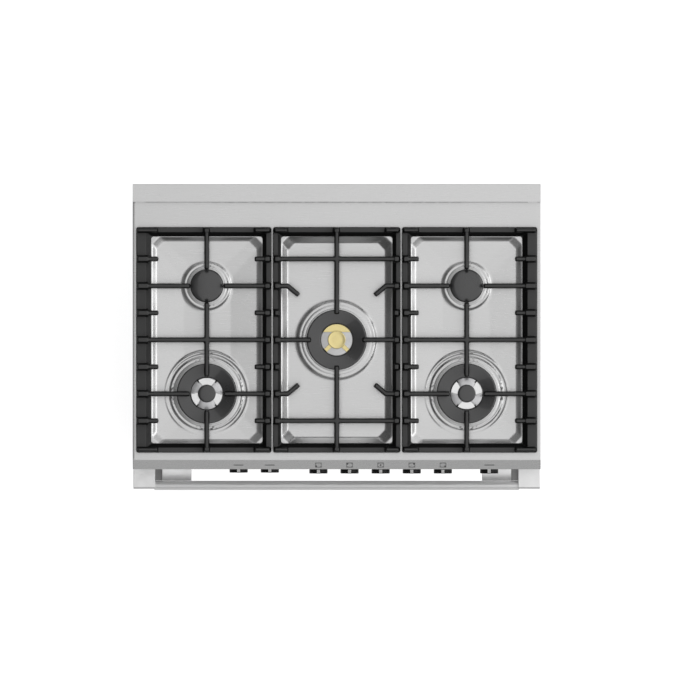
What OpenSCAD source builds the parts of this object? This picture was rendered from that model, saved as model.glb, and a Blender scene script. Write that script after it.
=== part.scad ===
// Freestanding gas range, 36 inch class: five burners over one oven.
// The origin is the centre of the footprint on the floor: +X right, +Y back, +Z up.

/* [Body] */
// Width over the side panels
range_w = 914; // [904:1:924]
// Depth from the back panel to the front of the handle
range_d = 687; // [680:1:694]
// Height of the flat worktop above the floor
worktop_z = 910; // [906:1:920]
// Height of the legs under the base
leg_h = 105; // [100:1:108]
// Thickness of the body's sheet steel
sheet = 1.5; // [1.2:0.1:1.8]
// Depth of the raised trim along the back
trim_d = 41; // [38:1:44]
// Height of the back trim above the worktop
trim_rise = 22; // [12:1:30]

/* [Control panel] */
// Horizontal run of the sloping brow over the knobs
brow_run = 21.7; // [18:0.1:24]
// How far the fascia is set back under the brow
fascia_set_back = 13.7; // [12:0.1:15]
// Height of the knob centres
knob_z = 815; // [812:1:818]
// Diameter of a knob
knob_d = 41; // [38:0.5:44]
// Spacing of neighbouring knobs
knob_pitch = 69.8; // [66:0.1:72]
// Inward travel of a burner knob
push_travel = 4; // [3:0.5:4]

/* [Cooktop] */
// Depth of the pressed basins
basin_depth = 12; // [10:1:14]
// Width of a basin's sloping wall
basin_slope = 11; // [8:1:12]
// Distance of the side burners from the centre line
burner_x = 291; // [288:1:294]
// Radius of a single burner cap
single_cap_r = 36; // [34:0.5:38]
// Outer radius of a dual burner's ring cap
ring_cap_r = 66; // [62:0.5:68]

/* [Grates] */
// Length of a grate from front to back
grate_l = 505; // [500:1:508]
// Height of the grate tops above the worktop
grate_rise = 38; // [36:1:42]
// Width of a finger
finger_w = 10.5; // [9:0.5:12]
// Spacing of the finger rows
finger_pitch = 60.4; // [58:0.1:61]

/* [Oven] */
// Inside width of the oven
oven_w = 760; // [740:5:770]
// Inside height of the oven above its floor plate
oven_h = 430; // [420:5:440]
// Inside depth of the oven
oven_d = 460; // [440:5:470]
// Height of the door
door_h = 638; // [630:1:640]
// Thickness of the door
door_t = 38; // [36:1:40]
// Diameter of the handle tube
handle_d = 21; // [19:0.5:23]
// Height of the handle
handle_z = 700; // [690:1:710]

/* [Hidden] */
$fn = 48;
ARC_STEPS = 8;                  // straight steps of an outline's arc
TINY = 0.01;
RUN_FIT = 0.05;                 // radial clearance of a shaft that turns or slides in a bore
HALF_W = range_w / 2;
BACK_Y = range_d / 2;
FRONT_Y = -range_d / 2;

// Worktop, control panel and body levels
SEAM_Y = BACK_Y - trim_d;       // front of the back trim
TOP_FRONT_Y = BACK_Y - 617.4;   // front edge of the worktop
BROW_Y = TOP_FRONT_Y - brow_run;
FASCIA_Y = BROW_Y + fascia_set_back;
TOP_SHEET = 2;
SKIRT_Z = worktop_z - 26;       // lower edge of the worktop's turned-down sides
PANEL_BOTTOM_Z = worktop_z - 148;
FRAME_Y = -238;                 // front of the oven's front frame
REAR_Y = BACK_Y - 3;            // outside of the back panel
FRAME_X = HALF_W - 22.5;        // half width between the side panels' flanges

// Basins and burners
BASIN_Z = worktop_z - basin_depth;
SIDE_BASIN = [-402.5, -178, -228, 214.5];
MID_BASIN = [-110, 110, -225, 210];
DOME_Z = BASIN_Z + 6;
REAR_BURNER_Y = 115.5;
FRONT_BURNER_Y = -126;
MID_BURNER_Y = -5.6;
SINGLES = [[-burner_x, REAR_BURNER_Y], [burner_x, REAR_BURNER_Y]];
DUALS = [[-burner_x, FRONT_BURNER_Y], [burner_x, FRONT_BURNER_Y], [0, MID_BURNER_Y]];
RING_BORE_R = 36;
INNER_CAP_R = 19.5;

// Grates
GRATE_Y = -5.7;
GRATE_Y0 = GRATE_Y - grate_l / 2;
GRATE_Y1 = GRATE_Y + grate_l / 2;
GRATE_TOP = worktop_z + grate_rise;
FRAME_LOW = worktop_z + 4;
FRAME_TOP = worktop_z + 20;
LEDGE_TOP = worktop_z + 13;
FINGER_LOW = FRAME_TOP - 2;
SIDE_X0 = -449;
SIDE_X1 = -146.3;
MID_X = 142.6;
END_BAR = 21;
END_FLAT = 11;

// Knobs, left to right: two oven knobs, five burner knobs, timer
KNOB_X = [-220, -150, -41, -41 + knob_pitch, -41 + 2 * knob_pitch, -41 + 3 * knob_pitch,
          -41 + 4 * knob_pitch, 342];
BURNER_KNOBS = [2, 3, 4, 5, 6];
OVEN_KNOBS = [0, 1, 7];
STEM_R = 4;
OVEN_KNOB_GAP = 1.5;
PUSH_KNOB_GAP = push_travel + 1.5;
KNOB_FRONT = BROW_Y - 10;
VALVE_FRONT = FASCIA_Y + 26;

// Oven
OVEN_FLOOR_Z = 215;
OVEN_LOW = 175;                 // inside of the liner under the floor plate
OVEN_TOP = OVEN_FLOOR_Z + oven_h;
OVEN_X = oven_w / 2;
OVEN_BACK = FRAME_Y + 6 + oven_d;
FAN_Z = 400;
FAN_SHAFT_R = 4;
RACK_Z = [330, 480];
RACK_X = OVEN_X - 16;
RACK_Y0 = FRAME_Y + 14;
RACK_Y1 = OVEN_BACK - 44;

// Door
DOOR_X = HALF_W - 5;
DOOR_Z0 = leg_h + 7;
DOOR_Z1 = DOOR_Z0 + door_h;
DOOR_FRONT = FRAME_Y - 8 - door_t;
DOOR_BACK = FRAME_Y - 8;
HINGE_Y = DOOR_BACK - 20;
HINGE_Z = DOOR_Z0 + 14;
HINGE_X = 382;
HINGE_PIN_R = 4;
SKIN = 2;
WINDOW = [300, 330, 590];       // half width, bottom and top
HANDLE_Y = FRONT_Y + handle_d / 2;
BLOCK_X = 408;                  // inner side of a handle end block
FOOT_X = [326.5, 392.5];
HANDLE_H = 28;

// ---- helpers ----

module box(lo, hi) { translate(lo) cube(hi - lo); }

module both_sides() {
    children();
    mirror([1, 0, 0]) children();
}

// A round rod along one axis, from its low end
module rod_x(x0, x1, y, z, r) { translate([x0, y, z]) rotate([0, 90, 0]) cylinder(r = r, h = x1 - x0); }
module rod_y(y0, y1, x, z, r) { translate([x, y1, z]) rotate([90, 0, 0]) cylinder(r = r, h = y1 - y0); }
module rod_z(z0, z1, x, y, r) { translate([x, y, z0]) cylinder(r = r, h = z1 - z0); }

// A profile in Y and Z, extruded along X
module prism_x(points, x0, x1) {
    translate([x0, 0, 0]) rotate([90, 0, 90]) linear_extrude(x1 - x0) polygon(points);
}

module tube_z(z0, z1, x, y, r_out, r_in) {
    difference() {
        rod_z(z0, z1, x, y, r_out);
        rod_z(z0 - 1, z1 + 1, x, y, r_in);
    }
}

// ---- body ----

module side_panels() {
    color("gainsboro") both_sides() {
        difference() {
            box([FRAME_X + 0.5, FRAME_Y, leg_h], [HALF_W, REAR_Y - sheet, SKIRT_Z]);
            box([FRAME_X - 1, FRAME_Y + sheet, leg_h + sheet],
                [HALF_W - sheet, REAR_Y, SKIRT_Z + 1]);
        }
    }
}

module back_panel() {
    color("darkgray") difference() {
        box([-HALF_W + 1, REAR_Y - sheet, leg_h], [HALF_W - 1, REAR_Y, SKIRT_Z]);
        rod_y(REAR_Y - 5, REAR_Y + 5, INLET[0], INLET[2], 28);
        rod_y(REAR_Y - 5, REAR_Y + 5, GLAND[0], GLAND[1], 9.5);
        for (i = [-9 : 9])
            box([i * 30 - 9, REAR_Y - 5, 560], [i * 30 + 9, REAR_Y + 5, 566]);
    }
}

module base_tray() {
    color("darkgray") difference() {
        box([-FRAME_X, FRAME_Y + 4.5, leg_h], [FRAME_X, REAR_Y - sheet - 0.5, leg_h + 14]);
        box([-FRAME_X + SKIN, FRAME_Y + 4.5 + SKIN, leg_h + SKIN],
            [FRAME_X - SKIN, REAR_Y - sheet - 0.5 - SKIN, leg_h + 20]);
        for (x = LEG_X, y = LEG_Y) rod_z(leg_h - 5, leg_h + 20, x, y, 6.3);
    }
}

module front_frame() {
    color("silver") difference() {
        box([-FRAME_X, FRAME_Y, leg_h + 2], [FRAME_X, FRAME_Y + 4, PANEL_BOTTOM_Z - 1]);
        box([-OVEN_X, FRAME_Y - 5, OVEN_FLOOR_Z - 2], [OVEN_X, FRAME_Y + 9, OVEN_TOP]);
        both_sides()
            box([HINGE_X - 8, FRAME_Y - 5, HINGE_Z - 9], [HINGE_X + 8, FRAME_Y + 9, HINGE_Z + 9]);
    }
}

LEG_X = [-HALF_W + 47, HALF_W - 47];
LEG_Y = [-170, 300];
module legs() {
    color("dimgray") for (x = LEG_X, y = LEG_Y) {
        rod_z(0, 9, x, y, 22);
        rod_z(9, 16, x, y, 15);
        rod_z(16, leg_h + 28, x, y, 6);
        rod_z(leg_h - 24, leg_h, x, y, 19);
        rod_z(leg_h + 2, leg_h + 12, x, y, 10);
    }
}

module kick_plate() {
    color("dimgray") difference() {
        box([-HALF_W + 8, -196, 24], [HALF_W - 8, -150, leg_h]);
        box([-HALF_W + 10, -194, 10], [HALF_W - 10, -140, leg_h - 2]);
        for (x = LEG_X) rod_z(20, leg_h + 5, x, LEG_Y[0], 21);
    }
}

module back_trim() {
    color("lightgray") difference() {
        box([-HALF_W, SEAM_Y + 0.4, SKIRT_Z], [HALF_W, BACK_Y, worktop_z + trim_rise]);
        box([-HALF_W + 2, SEAM_Y + 2.4, SKIRT_Z - 5],
            [HALF_W - 2, BACK_Y - 2, worktop_z + trim_rise - 2]);
        for (i = [-9 : 9])
            box([i * 30 - 10, SEAM_Y - 5, worktop_z + 6], [i * 30 + 10, SEAM_Y + 8, worktop_z + 13]);
    }
}

SCREW_Z = [leg_h + 22, 380, 620, SKIRT_Z - 22];
module panel_screws() {
    color("silver") {
        for (x = [-HALF_W + 12, HALF_W - 12], z = SCREW_Z) rod_y(REAR_Y, REAR_Y + 2.4, x, z, 4.5);
        for (x = [-200, 0, 200], z = [leg_h + 8, SKIRT_Z - 8])
            rod_y(REAR_Y, REAR_Y + 2.4, x, z, 4.5);
    }
}

// ---- cooktop ----

// Outline of a basin: a rectangle with its corners cut off
function basin_outline(b, grow, cut) = [
    [b[0] - grow + cut, b[2] - grow], [b[1] + grow - cut, b[2] - grow],
    [b[1] + grow, b[2] - grow + cut], [b[1] + grow, b[3] + grow - cut],
    [b[1] + grow - cut, b[3] + grow], [b[0] - grow + cut, b[3] + grow],
    [b[0] - grow, b[3] + grow - cut], [b[0] - grow, b[2] - grow + cut]];

// A sloping-walled basin body between two heights
module basin_body(b, cut, extra, z0, z1) {
    hull() {
        translate([0, 0, z0]) linear_extrude(TINY) polygon(basin_outline(b, extra, cut));
        translate([0, 0, z1 - TINY]) linear_extrude(TINY)
            polygon(basin_outline(b, basin_slope + extra, cut));
    }
}

SIDE_CUT = 17;
MID_CUT = 20;
module basins(extra, z0, z1) {
    basin_body(SIDE_BASIN, SIDE_CUT, extra, z0, z1);
    mirror([1, 0, 0]) basin_body(SIDE_BASIN, SIDE_CUT, extra, z0, z1);
    basin_body(MID_BASIN, MID_CUT, extra, z0, z1);
}

// The stepped dome that is pressed up around a burner
module dome(p, r, bore_r) {
    translate([p[0], p[1], BASIN_Z - TOP_SHEET]) difference() {
        union() {
            cylinder(r1 = r, r2 = r - 8, h = 5);
            cylinder(r = r - 14, h = DOME_Z - BASIN_Z + TOP_SHEET);
        }
        translate([0, 0, -1]) cylinder(r1 = r - 2, r2 = r - 16, h = 4);
        translate([0, 0, -5]) cylinder(r = bore_r, h = 30);
    }
}

DUAL_DOME_R = 92;
SINGLE_DOME_R = 54;
DUAL_BORE_R = 56;
SINGLE_BORE_R = 31;
module cooktop() {
    color("lightgray") {
        difference() {
            union() {
                difference() {
                    box([-HALF_W, TOP_FRONT_Y, SKIRT_Z], [HALF_W, SEAM_Y, worktop_z]);
                    box([-HALF_W + sheet, TOP_FRONT_Y + sheet, SKIRT_Z - 1],
                        [HALF_W - sheet, SEAM_Y - sheet, worktop_z - TOP_SHEET]);
                }
                basins(TOP_SHEET, BASIN_Z - TOP_SHEET, worktop_z);
            }
            basins(0, BASIN_Z, worktop_z + TINY);
            for (p = SINGLES) rod_z(BASIN_Z - 9, BASIN_Z + 9, p[0], p[1], SINGLE_DOME_R - 4);
            for (p = DUALS) rod_z(BASIN_Z - 9, BASIN_Z + 9, p[0], p[1], DUAL_DOME_R - 4);
        }
        for (p = SINGLES) dome(p, SINGLE_DOME_R, SINGLE_BORE_R);
        for (p = DUALS) dome(p, DUAL_DOME_R, DUAL_BORE_R);
    }
}

CUP_LOW = worktop_z - 48;
module burner_cups() {
    color("gray") {
        for (p = SINGLES) {
            tube_z(CUP_LOW, DOME_Z, p[0], p[1], 28, 12);
            tube_z(DOME_Z, DOME_Z + 2, p[0], p[1], 35, 12);
            box([p[0] - 16, p[1] - 52, CUP_LOW - 2], [p[0] + 16, p[1] + 16, CUP_LOW]);
        }
        for (p = DUALS) {
            tube_z(CUP_LOW, DOME_Z, p[0], p[1], 53, 46);
            tube_z(CUP_LOW, DOME_Z, p[0], p[1], 26, 10);
            tube_z(DOME_Z, DOME_Z + 2, p[0], p[1], 64, 46);
            box([p[0] - 24, p[1] - 72, CUP_LOW - 2], [p[0] + 24, p[1] + 52, CUP_LOW]);
        }
    }
}

HEAD_Z = DOME_Z + 2;
// A ring of gas ports around a burner head
module ports(p, r, count, z) {
    for (i = [0 : count - 1])
        translate([p[0], p[1], z]) rotate([0, 0, (i + 0.5) * 360 / count])
            translate([r - 6, -1.2, 0]) cube([12, 2.4, 5]);
}

// Igniters stand in notches of the heads, under the caps' rims
IGNITER_R = 3;
IGNITERS = concat([for (p = SINGLES) [p[0], p[1] - 30]], [for (p = DUALS) [p[0] + 40.3, p[1] - 40.3]]);
module igniter_notches() {
    for (q = IGNITERS) rod_z(HEAD_Z - 1, HEAD_Z + 9, q[0], q[1], IGNITER_R + 1);
}

module burner_heads() {
    color("silver") {
        for (p = SINGLES) difference() {
            tube_z(HEAD_Z, HEAD_Z + 8, p[0], p[1], 33, 12);
            ports(p, 33, 18, HEAD_Z + 4);
            igniter_notches();
        }
        for (p = DUALS) difference() {
            tube_z(HEAD_Z, HEAD_Z + 8, p[0], p[1], 62, RING_BORE_R + 2);
            ports(p, 62, 24, HEAD_Z + 4);
            igniter_notches();
        }
        for (p = [DUALS[0], DUALS[1]]) {
            rod_z(HEAD_Z, HEAD_Z + 10, p[0], p[1], RING_BORE_R - 1.5);
            for (i = [0 : 2])
                translate([p[0], p[1], HEAD_Z + 10]) rotate([0, 0, 90 + i * 120])
                    rotate_extrude(angle = 60) translate([INNER_CAP_R - 4, 0]) square([19, 3]);
        }
    }
}

module burner_caps() {
    color([0.09, 0.09, 0.09]) {
        for (p = SINGLES) {
            rod_z(HEAD_Z + 8, HEAD_Z + 12, p[0], p[1], single_cap_r);
            translate([p[0], p[1], HEAD_Z + 12])
                cylinder(r1 = single_cap_r, r2 = single_cap_r - 3, h = 2);
        }
        for (p = [DUALS[0], DUALS[1]]) {
            rod_z(HEAD_Z + 10, HEAD_Z + 14, p[0], p[1], INNER_CAP_R - 4.5);
            translate([p[0], p[1], HEAD_Z + 14])
                cylinder(r1 = INNER_CAP_R, r2 = INNER_CAP_R - 2, h = 3);
        }
    }
}

module dual_ring_caps() {
    color([0.1, 0.1, 0.1]) for (p = DUALS)
        translate([p[0], p[1], HEAD_Z + 8]) rotate_extrude()
            polygon([[RING_BORE_R, 0], [ring_cap_r, 0], [ring_cap_r, 4], [ring_cap_r - 4, 7],
                     [RING_BORE_R + 4, 7], [RING_BORE_R, 4]]);
}

// Two brass spokes face the front corners, a wide brass sector faces the back
SPOKE_TURNS = [225, 315];
module center_flame_ring() {
    p = DUALS[2];
    color("goldenrod") translate([p[0], p[1], HEAD_Z]) {
        cylinder(r = RING_BORE_R - 1.5, h = 9);
        rotate([0, 0, 45]) translate([0, 0, 9]) rotate_extrude(angle = 90)
            translate([INNER_CAP_R - 4, 0]) square([19, 3]);
        for (a = SPOKE_TURNS)
            rotate([0, 0, a]) translate([INNER_CAP_R - 4, -4, 9]) cube([19, 8, 3]);
    }
}

module center_cap() {
    p = DUALS[2];
    color("gold") translate([p[0], p[1], HEAD_Z + 9]) {
        cylinder(r = INNER_CAP_R - 4.5, h = 5);
        translate([0, 0, 5]) cylinder(r1 = INNER_CAP_R, r2 = INNER_CAP_R - 2, h = 3);
    }
}

module igniters() {
    color("white") for (q = IGNITERS) {
        rod_z(HEAD_Z, HEAD_Z + 4, q[0], q[1], IGNITER_R);
        rod_z(HEAD_Z + 4, HEAD_Z + 6, q[0], q[1], 1);
    }
}

// ---- gas train ----

MANIFOLD_Y = -214;
MANIFOLD_R = 10.5;
INLET = [390, 0, 160];
FEED_X = 428;
module gas_manifold() {
    color("silver") {
        rod_x(KNOB_X[2] - 25, FEED_X + MANIFOLD_R, MANIFOLD_Y, knob_z, MANIFOLD_R);
        rod_z(INLET[2] + 30, knob_z, FEED_X, MANIFOLD_Y, MANIFOLD_R);
        rod_y(MANIFOLD_Y - MANIFOLD_R, REG_Y[0], FEED_X, INLET[2] + 30, MANIFOLD_R);
    }
}

module gas_valves() {
    color("goldenrod") for (i = BURNER_KNOBS) difference() {
        union() {
            box([KNOB_X[i] - 14, VALVE_FRONT, knob_z - 17], [KNOB_X[i] + 14, MANIFOLD_Y - 11, knob_z + 17]);
            rod_z(knob_z + 17, VALVE_TOP, KNOB_X[i], SUPPLY_Y, 6);
        }
        rod_y(VALVE_FRONT - 1, VALVE_FRONT + 22, KNOB_X[i], knob_z, STEM_R + RUN_FIT);
    }
}

REG_Y = [252, 300];
INLET_R = 10.65;
module gas_regulator() {
    color("darkkhaki") {
        box([INLET[0] - 26, REG_Y[0], INLET[2] - 18], [INLET[0] + 56, REG_Y[1], INLET[2] + 44]);
        rod_z(INLET[2] + 44, INLET[2] + 58, INLET[0] + 12, (REG_Y[0] + REG_Y[1]) / 2, 24);
        rod_y(REG_Y[1], REAR_Y - 18, INLET[0], INLET[2], 15);
        rod_y(REAR_Y - 18, REAR_Y - 1, INLET[0], INLET[2], INLET_R);
    }
}

TUBE_Z = worktop_z - 55;
TUBE_R = 3;
TUBE_STEP = 8;
SUPPLY_Y = -238;
VALVE_TOP = knob_z + 19;
// A thin supply tube: up from the valve, along and back to the burner's cup, with elbow fittings
module supply_tube(x0, p, r, z) {
    y1 = p[1] - 20;
    rod_z(VALVE_TOP, z, x0, SUPPLY_Y, r);
    rod_x(min(x0, p[0]), max(x0, p[0]), SUPPLY_Y, z, r);
    rod_y(SUPPLY_Y, y1, p[0], z, r);
    rod_z(z, CUP_LOW - 2, p[0], y1, r);
    for (q = [[x0, SUPPLY_Y], [p[0], SUPPLY_Y], [p[0], y1]])
        box([q[0] - r - 1, q[1] - r - 1, z - r - 1], [q[0] + r + 1, q[1] + r + 1, z + r + 1]);
}

module burner_tubes() {
    color("lightsteelblue") {
        supply_tube(KNOB_X[2], [-burner_x - 8, FRONT_BURNER_Y], TUBE_R, TUBE_Z);
        supply_tube(KNOB_X[3], [-burner_x + 8, REAR_BURNER_Y], TUBE_R, TUBE_Z - TUBE_STEP);
        supply_tube(KNOB_X[4], [8, MID_BURNER_Y], TUBE_R, TUBE_Z - 2 * TUBE_STEP);
        supply_tube(KNOB_X[5], [burner_x - 8, REAR_BURNER_Y], TUBE_R, TUBE_Z - TUBE_STEP);
        supply_tube(KNOB_X[6], [burner_x + 8, FRONT_BURNER_Y], TUBE_R, TUBE_Z);
    }
}

module spark_module() {
    color("ivory") {
        box([150, 262, 720], [240, REAR_Y - sheet, 780]);
        for (i = [0 : 5]) rod_z(780, 792, 160 + i * 14, 300, 3);
    }
}

GLAND = [-380, 160];
module cord_gland() {
    color([0.1, 0.1, 0.1]) difference() {
        union() {
            rod_y(REAR_Y - 16, REAR_Y + 2.5, GLAND[0], GLAND[1], 9);
            rod_y(REAR_Y, REAR_Y + 2.5, GLAND[0], GLAND[1], 13);
            rod_y(REAR_Y - 8, REAR_Y - 3, GLAND[0], GLAND[1], 13);
        }
        rod_y(REAR_Y - 20, REAR_Y + 5, GLAND[0], GLAND[1], 4.5);
    }
}

// ---- control panel ----

module control_panel() {
    low = PANEL_BOTTOM_Z;
    brow_low = worktop_z - 0.5 - brow_run;
    back = FRAME_Y - 0.4;
    color("silver") difference() {
        prism_x([[TOP_FRONT_Y - 0.4, worktop_z - 0.5], [BROW_Y, brow_low], [BROW_Y, brow_low - 9],
                 [FASCIA_Y, brow_low - 22], [FASCIA_Y, low], [back, low], [back, SKIRT_Z - 1],
                 [TOP_FRONT_Y - 0.4, SKIRT_Z - 1]], -HALF_W, HALF_W);
        prism_x([[TOP_FRONT_Y + 1, worktop_z - 4.5], [BROW_Y + 2, brow_low - 1.2], [BROW_Y + 2, brow_low - 8],
                 [FASCIA_Y + 2, brow_low - 21], [FASCIA_Y + 2, low + 2], [back + 1, low + 2],
                 [back + 1, SKIRT_Z + 5], [TOP_FRONT_Y + 1, SKIRT_Z + 5]], -HALF_W + 2, HALF_W - 2);
        for (x = KNOB_X) rod_y(FASCIA_Y - 5, FASCIA_Y + 8, x, knob_z, STEM_R + 1.2);
    }
}

module oven_switches() {
    color([0.2, 0.2, 0.22]) for (i = OVEN_KNOBS) {
        box([KNOB_X[i] - 20, FASCIA_Y + 10, knob_z - 20], [KNOB_X[i] + 20, FASCIA_Y + 44, knob_z + 20]);
        rod_y(FASCIA_Y - OVEN_KNOB_GAP - 13, FASCIA_Y + 10, KNOB_X[i], knob_z, STEM_R);
    }
}

// A control knob on its shaft: skirt, tapered grip and a pointer groove on top
module knob(i, gap, front) {
    back = FASCIA_Y - gap;
    length = back - front;
    color([0.06, 0.06, 0.06]) translate([KNOB_X[i], back, knob_z]) rotate([90, 0, 0]) difference() {
        union() {
            cylinder(r = knob_d / 2 - 1, h = length - 2);
            cylinder(r = knob_d / 2, h = length - 4);
            translate([0, 0, length - 2]) cylinder(r1 = knob_d / 2 - 1, r2 = knob_d / 2 - 3, h = 2);
        }
        translate([0, 0, -1]) cylinder(r = STEM_R + RUN_FIT, h = 14.5);
        translate([-2, knob_d / 2 - 7, length - 1.2]) cube([4, 10, 3]);
    }
}

module burner_knob(n) { knob(BURNER_KNOBS[n - 1], PUSH_KNOB_GAP, KNOB_FRONT); }

// A valve stem with the collar that keeps it behind the fascia
module valve_stem(n) {
    x = KNOB_X[BURNER_KNOBS[n - 1]];
    color("goldenrod") {
        rod_y(FASCIA_Y - PUSH_KNOB_GAP - 12.5, VALVE_FRONT + 12, x, knob_z, STEM_R);
        rod_y(VALVE_FRONT - 9, VALVE_FRONT - 6, x, knob_z, STEM_R + 3);
    }
}

// ---- grates ----

module finger_y(x, y0, y1) {
    box([x - finger_w / 2, min(y0, y1), FINGER_LOW], [x + finger_w / 2, max(y0, y1), GRATE_TOP]);
}

module finger_x(y, x0, x1) {
    box([min(x0, x1), y - finger_w / 2, FINGER_LOW], [max(x0, x1), y + finger_w / 2, GRATE_TOP]);
}

module tip(x, y) { rod_z(FINGER_LOW, GRATE_TOP, x, y, finger_w / 2); }

function row_y(k) = GRATE_Y + k * finger_pitch;

// Rectangular frame bars: x0 and x1 are the outer sides, w0 and w1 the bars' widths
module grate_frame(x0, x1, w0, w1) {
    difference() {
        box([x0, GRATE_Y0, FRAME_LOW], [x1, GRATE_Y1, FRAME_TOP]);
        box([x0 + w0, GRATE_Y0 + END_BAR, FRAME_LOW - 5], [x1 - w1, GRATE_Y1 - END_BAR, FRAME_TOP + 5]);
        box([x0 + END_FLAT, GRATE_Y0 + END_FLAT, LEDGE_TOP], [x1 - END_FLAT, GRATE_Y0 + END_BAR + 1, FRAME_TOP + 5]);
        box([x0 + END_FLAT, GRATE_Y1 - END_BAR - 1, LEDGE_TOP], [x1 - END_FLAT, GRATE_Y1 - END_FLAT, FRAME_TOP + 5]);
    }
    for (x = [x0 + 12, x1 - 12], y = [GRATE_Y0 + 12, GRATE_Y1 - 12])
        rod_z(worktop_z, FRAME_LOW, x, y, 6);
}

module corner_pads(x0, x1, len0, len1) {
    for (y = [GRATE_Y0, GRATE_Y1 - END_FLAT]) {
        box([x0, y, FINGER_LOW], [x0 + len0, y + END_FLAT, GRATE_TOP]);
        box([x1 - len1, y, FINGER_LOW], [x1, y + END_FLAT, GRATE_TOP]);
    }
}

OUTER_STUB = 47.5;
INNER_STUB = 38;
TIP_GAP = 38.5;                 // burner centre to a finger's tip
module side_grate() {
    reach = TIP_GAP + finger_w / 2;
    grate_frame(SIDE_X0, SIDE_X1, 33.5, 20);
    corner_pads(SIDE_X0, SIDE_X1, 50, 39);
    for (k = [-3, -1, 1, 3]) {
        finger_x(row_y(k), SIDE_X0, SIDE_X0 + OUTER_STUB);
        finger_x(row_y(k), SIDE_X1 - INNER_STUB, SIDE_X1);
    }
    finger_x(row_y(0), SIDE_X0, SIDE_X1);
    for (k = [-2, 2]) {
        finger_x(row_y(k), SIDE_X0, -burner_x - reach);
        finger_x(row_y(k), -burner_x + reach, SIDE_X1);
        tip(-burner_x - reach, row_y(k));
        tip(-burner_x + reach, row_y(k));
    }
    finger_y(-burner_x, GRATE_Y0, FRONT_BURNER_Y - reach);
    finger_y(-burner_x, FRONT_BURNER_Y + reach, REAR_BURNER_Y - reach);
    finger_y(-burner_x, REAR_BURNER_Y + reach, GRATE_Y1);
    for (y = [FRONT_BURNER_Y - reach, FRONT_BURNER_Y + reach,
              REAR_BURNER_Y - reach, REAR_BURNER_Y + reach]) tip(-burner_x, y);
}

module grate_left() { color([0.22, 0.22, 0.22]) side_grate(); }
module grate_right() { color([0.22, 0.22, 0.22]) mirror([1, 0, 0]) side_grate(); }

MID_REACH = 57;                 // burner centre to the centre grate's finger tips
BEND_X = 110;
BEND_LEN = 30;
BEND = 40;
// A finger that runs in from the side bar and then bends towards the burner, with a round tip
module bent_finger(k) {
    s = sign(k);
    w = finger_w / 2;
    run = MID_X - BEND_X;
    mitre = w * tan(BEND / 2);
    end = [run + BEND_LEN * cos(BEND), s * BEND_LEN * sin(BEND)];
    round_tip = [for (i = [0 : ARC_STEPS]) let (t = s * (BEND - 90 + 180 * i / ARC_STEPS))
        end + w * [cos(t), sin(t)]];
    translate([MID_X, row_y(k), FINGER_LOW]) rotate([0, 0, 180])
        linear_extrude(GRATE_TOP - FINGER_LOW)
            polygon(concat([[0, -s * w], [run + mitre, -s * w]], round_tip, [[run - mitre, s * w], [0, s * w]]));
}

module grate_center() {
    color([0.22, 0.22, 0.22]) {
        grate_frame(-MID_X, MID_X, 18, 18);
        corner_pads(-MID_X, MID_X, 35, 35);
        for (k = [-3, 3]) finger_x(row_y(k), -MID_X, MID_X);
        both_sides() {
            finger_x(row_y(0), MID_REACH + finger_w / 2, MID_X);
            tip(MID_REACH + finger_w / 2, row_y(0));
            for (k = [-1, 1]) finger_x(row_y(k), MID_X - 20, MID_X);
            for (k = [-2, 2]) bent_finger(k);
        }
        for (s = [-1, 1]) {
            y = MID_BURNER_Y + s * (MID_REACH + finger_w / 2);
            finger_y(0, y, s > 0 ? GRATE_Y1 : GRATE_Y0);
            tip(0, y);
        }
    }
}

// ---- oven ----

module oven_liner() {
    color([0.15, 0.16, 0.2]) difference() {
        box([-OVEN_X - sheet, FRAME_Y + 4, OVEN_LOW - sheet],
            [OVEN_X + sheet, OVEN_BACK + sheet, OVEN_TOP + sheet]);
        box([-OVEN_X, FRAME_Y - 5, OVEN_LOW], [OVEN_X, OVEN_BACK, OVEN_TOP]);
        rod_y(OVEN_BACK - 5, OVEN_BACK + 5, 0, FAN_Z, 9);
        rod_y(OVEN_BACK - 5, OVEN_BACK + 5, LAMP[0], LAMP[1], 20);
        box([-50, OVEN_BACK - 5, OVEN_TOP - 40], [50, OVEN_BACK + 5, OVEN_TOP - 15]);
    }
}

module oven_floor() {
    color([0.2, 0.21, 0.25]) difference() {
        box([-OVEN_X + 2, FRAME_Y + 6, OVEN_FLOOR_Z - 2], [OVEN_X - 2, OVEN_BACK - 2, OVEN_FLOOR_Z]);
        for (s = [-1, 1], i = [0 : 9])
            box([s * (OVEN_X - 30) - 8, -190 + i * 40, OVEN_FLOOR_Z - 5],
                [s * (OVEN_X - 30) + 8, -166 + i * 40, OVEN_FLOOR_Z + 5]);
    }
}

BURNER_TUBE_R = 8;
module oven_burners() {
    z = OVEN_LOW + 18;
    top = OVEN_TOP - 16;
    color("silver") {
        for (x = [-230, 230]) rod_y(-180, 190, x, z, BURNER_TUBE_R);
        rod_x(-242, 242, 190, z, BURNER_TUBE_R + 2);
        for (i = [-3 : 3]) rod_y(-150, 160, i * 70, top, BURNER_TUBE_R);
        rod_x(-222, 222, 160, top, BURNER_TUBE_R + 2);
        rod_y(162, OVEN_BACK, 0, top, BURNER_TUBE_R - 1);
    }
}

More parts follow.
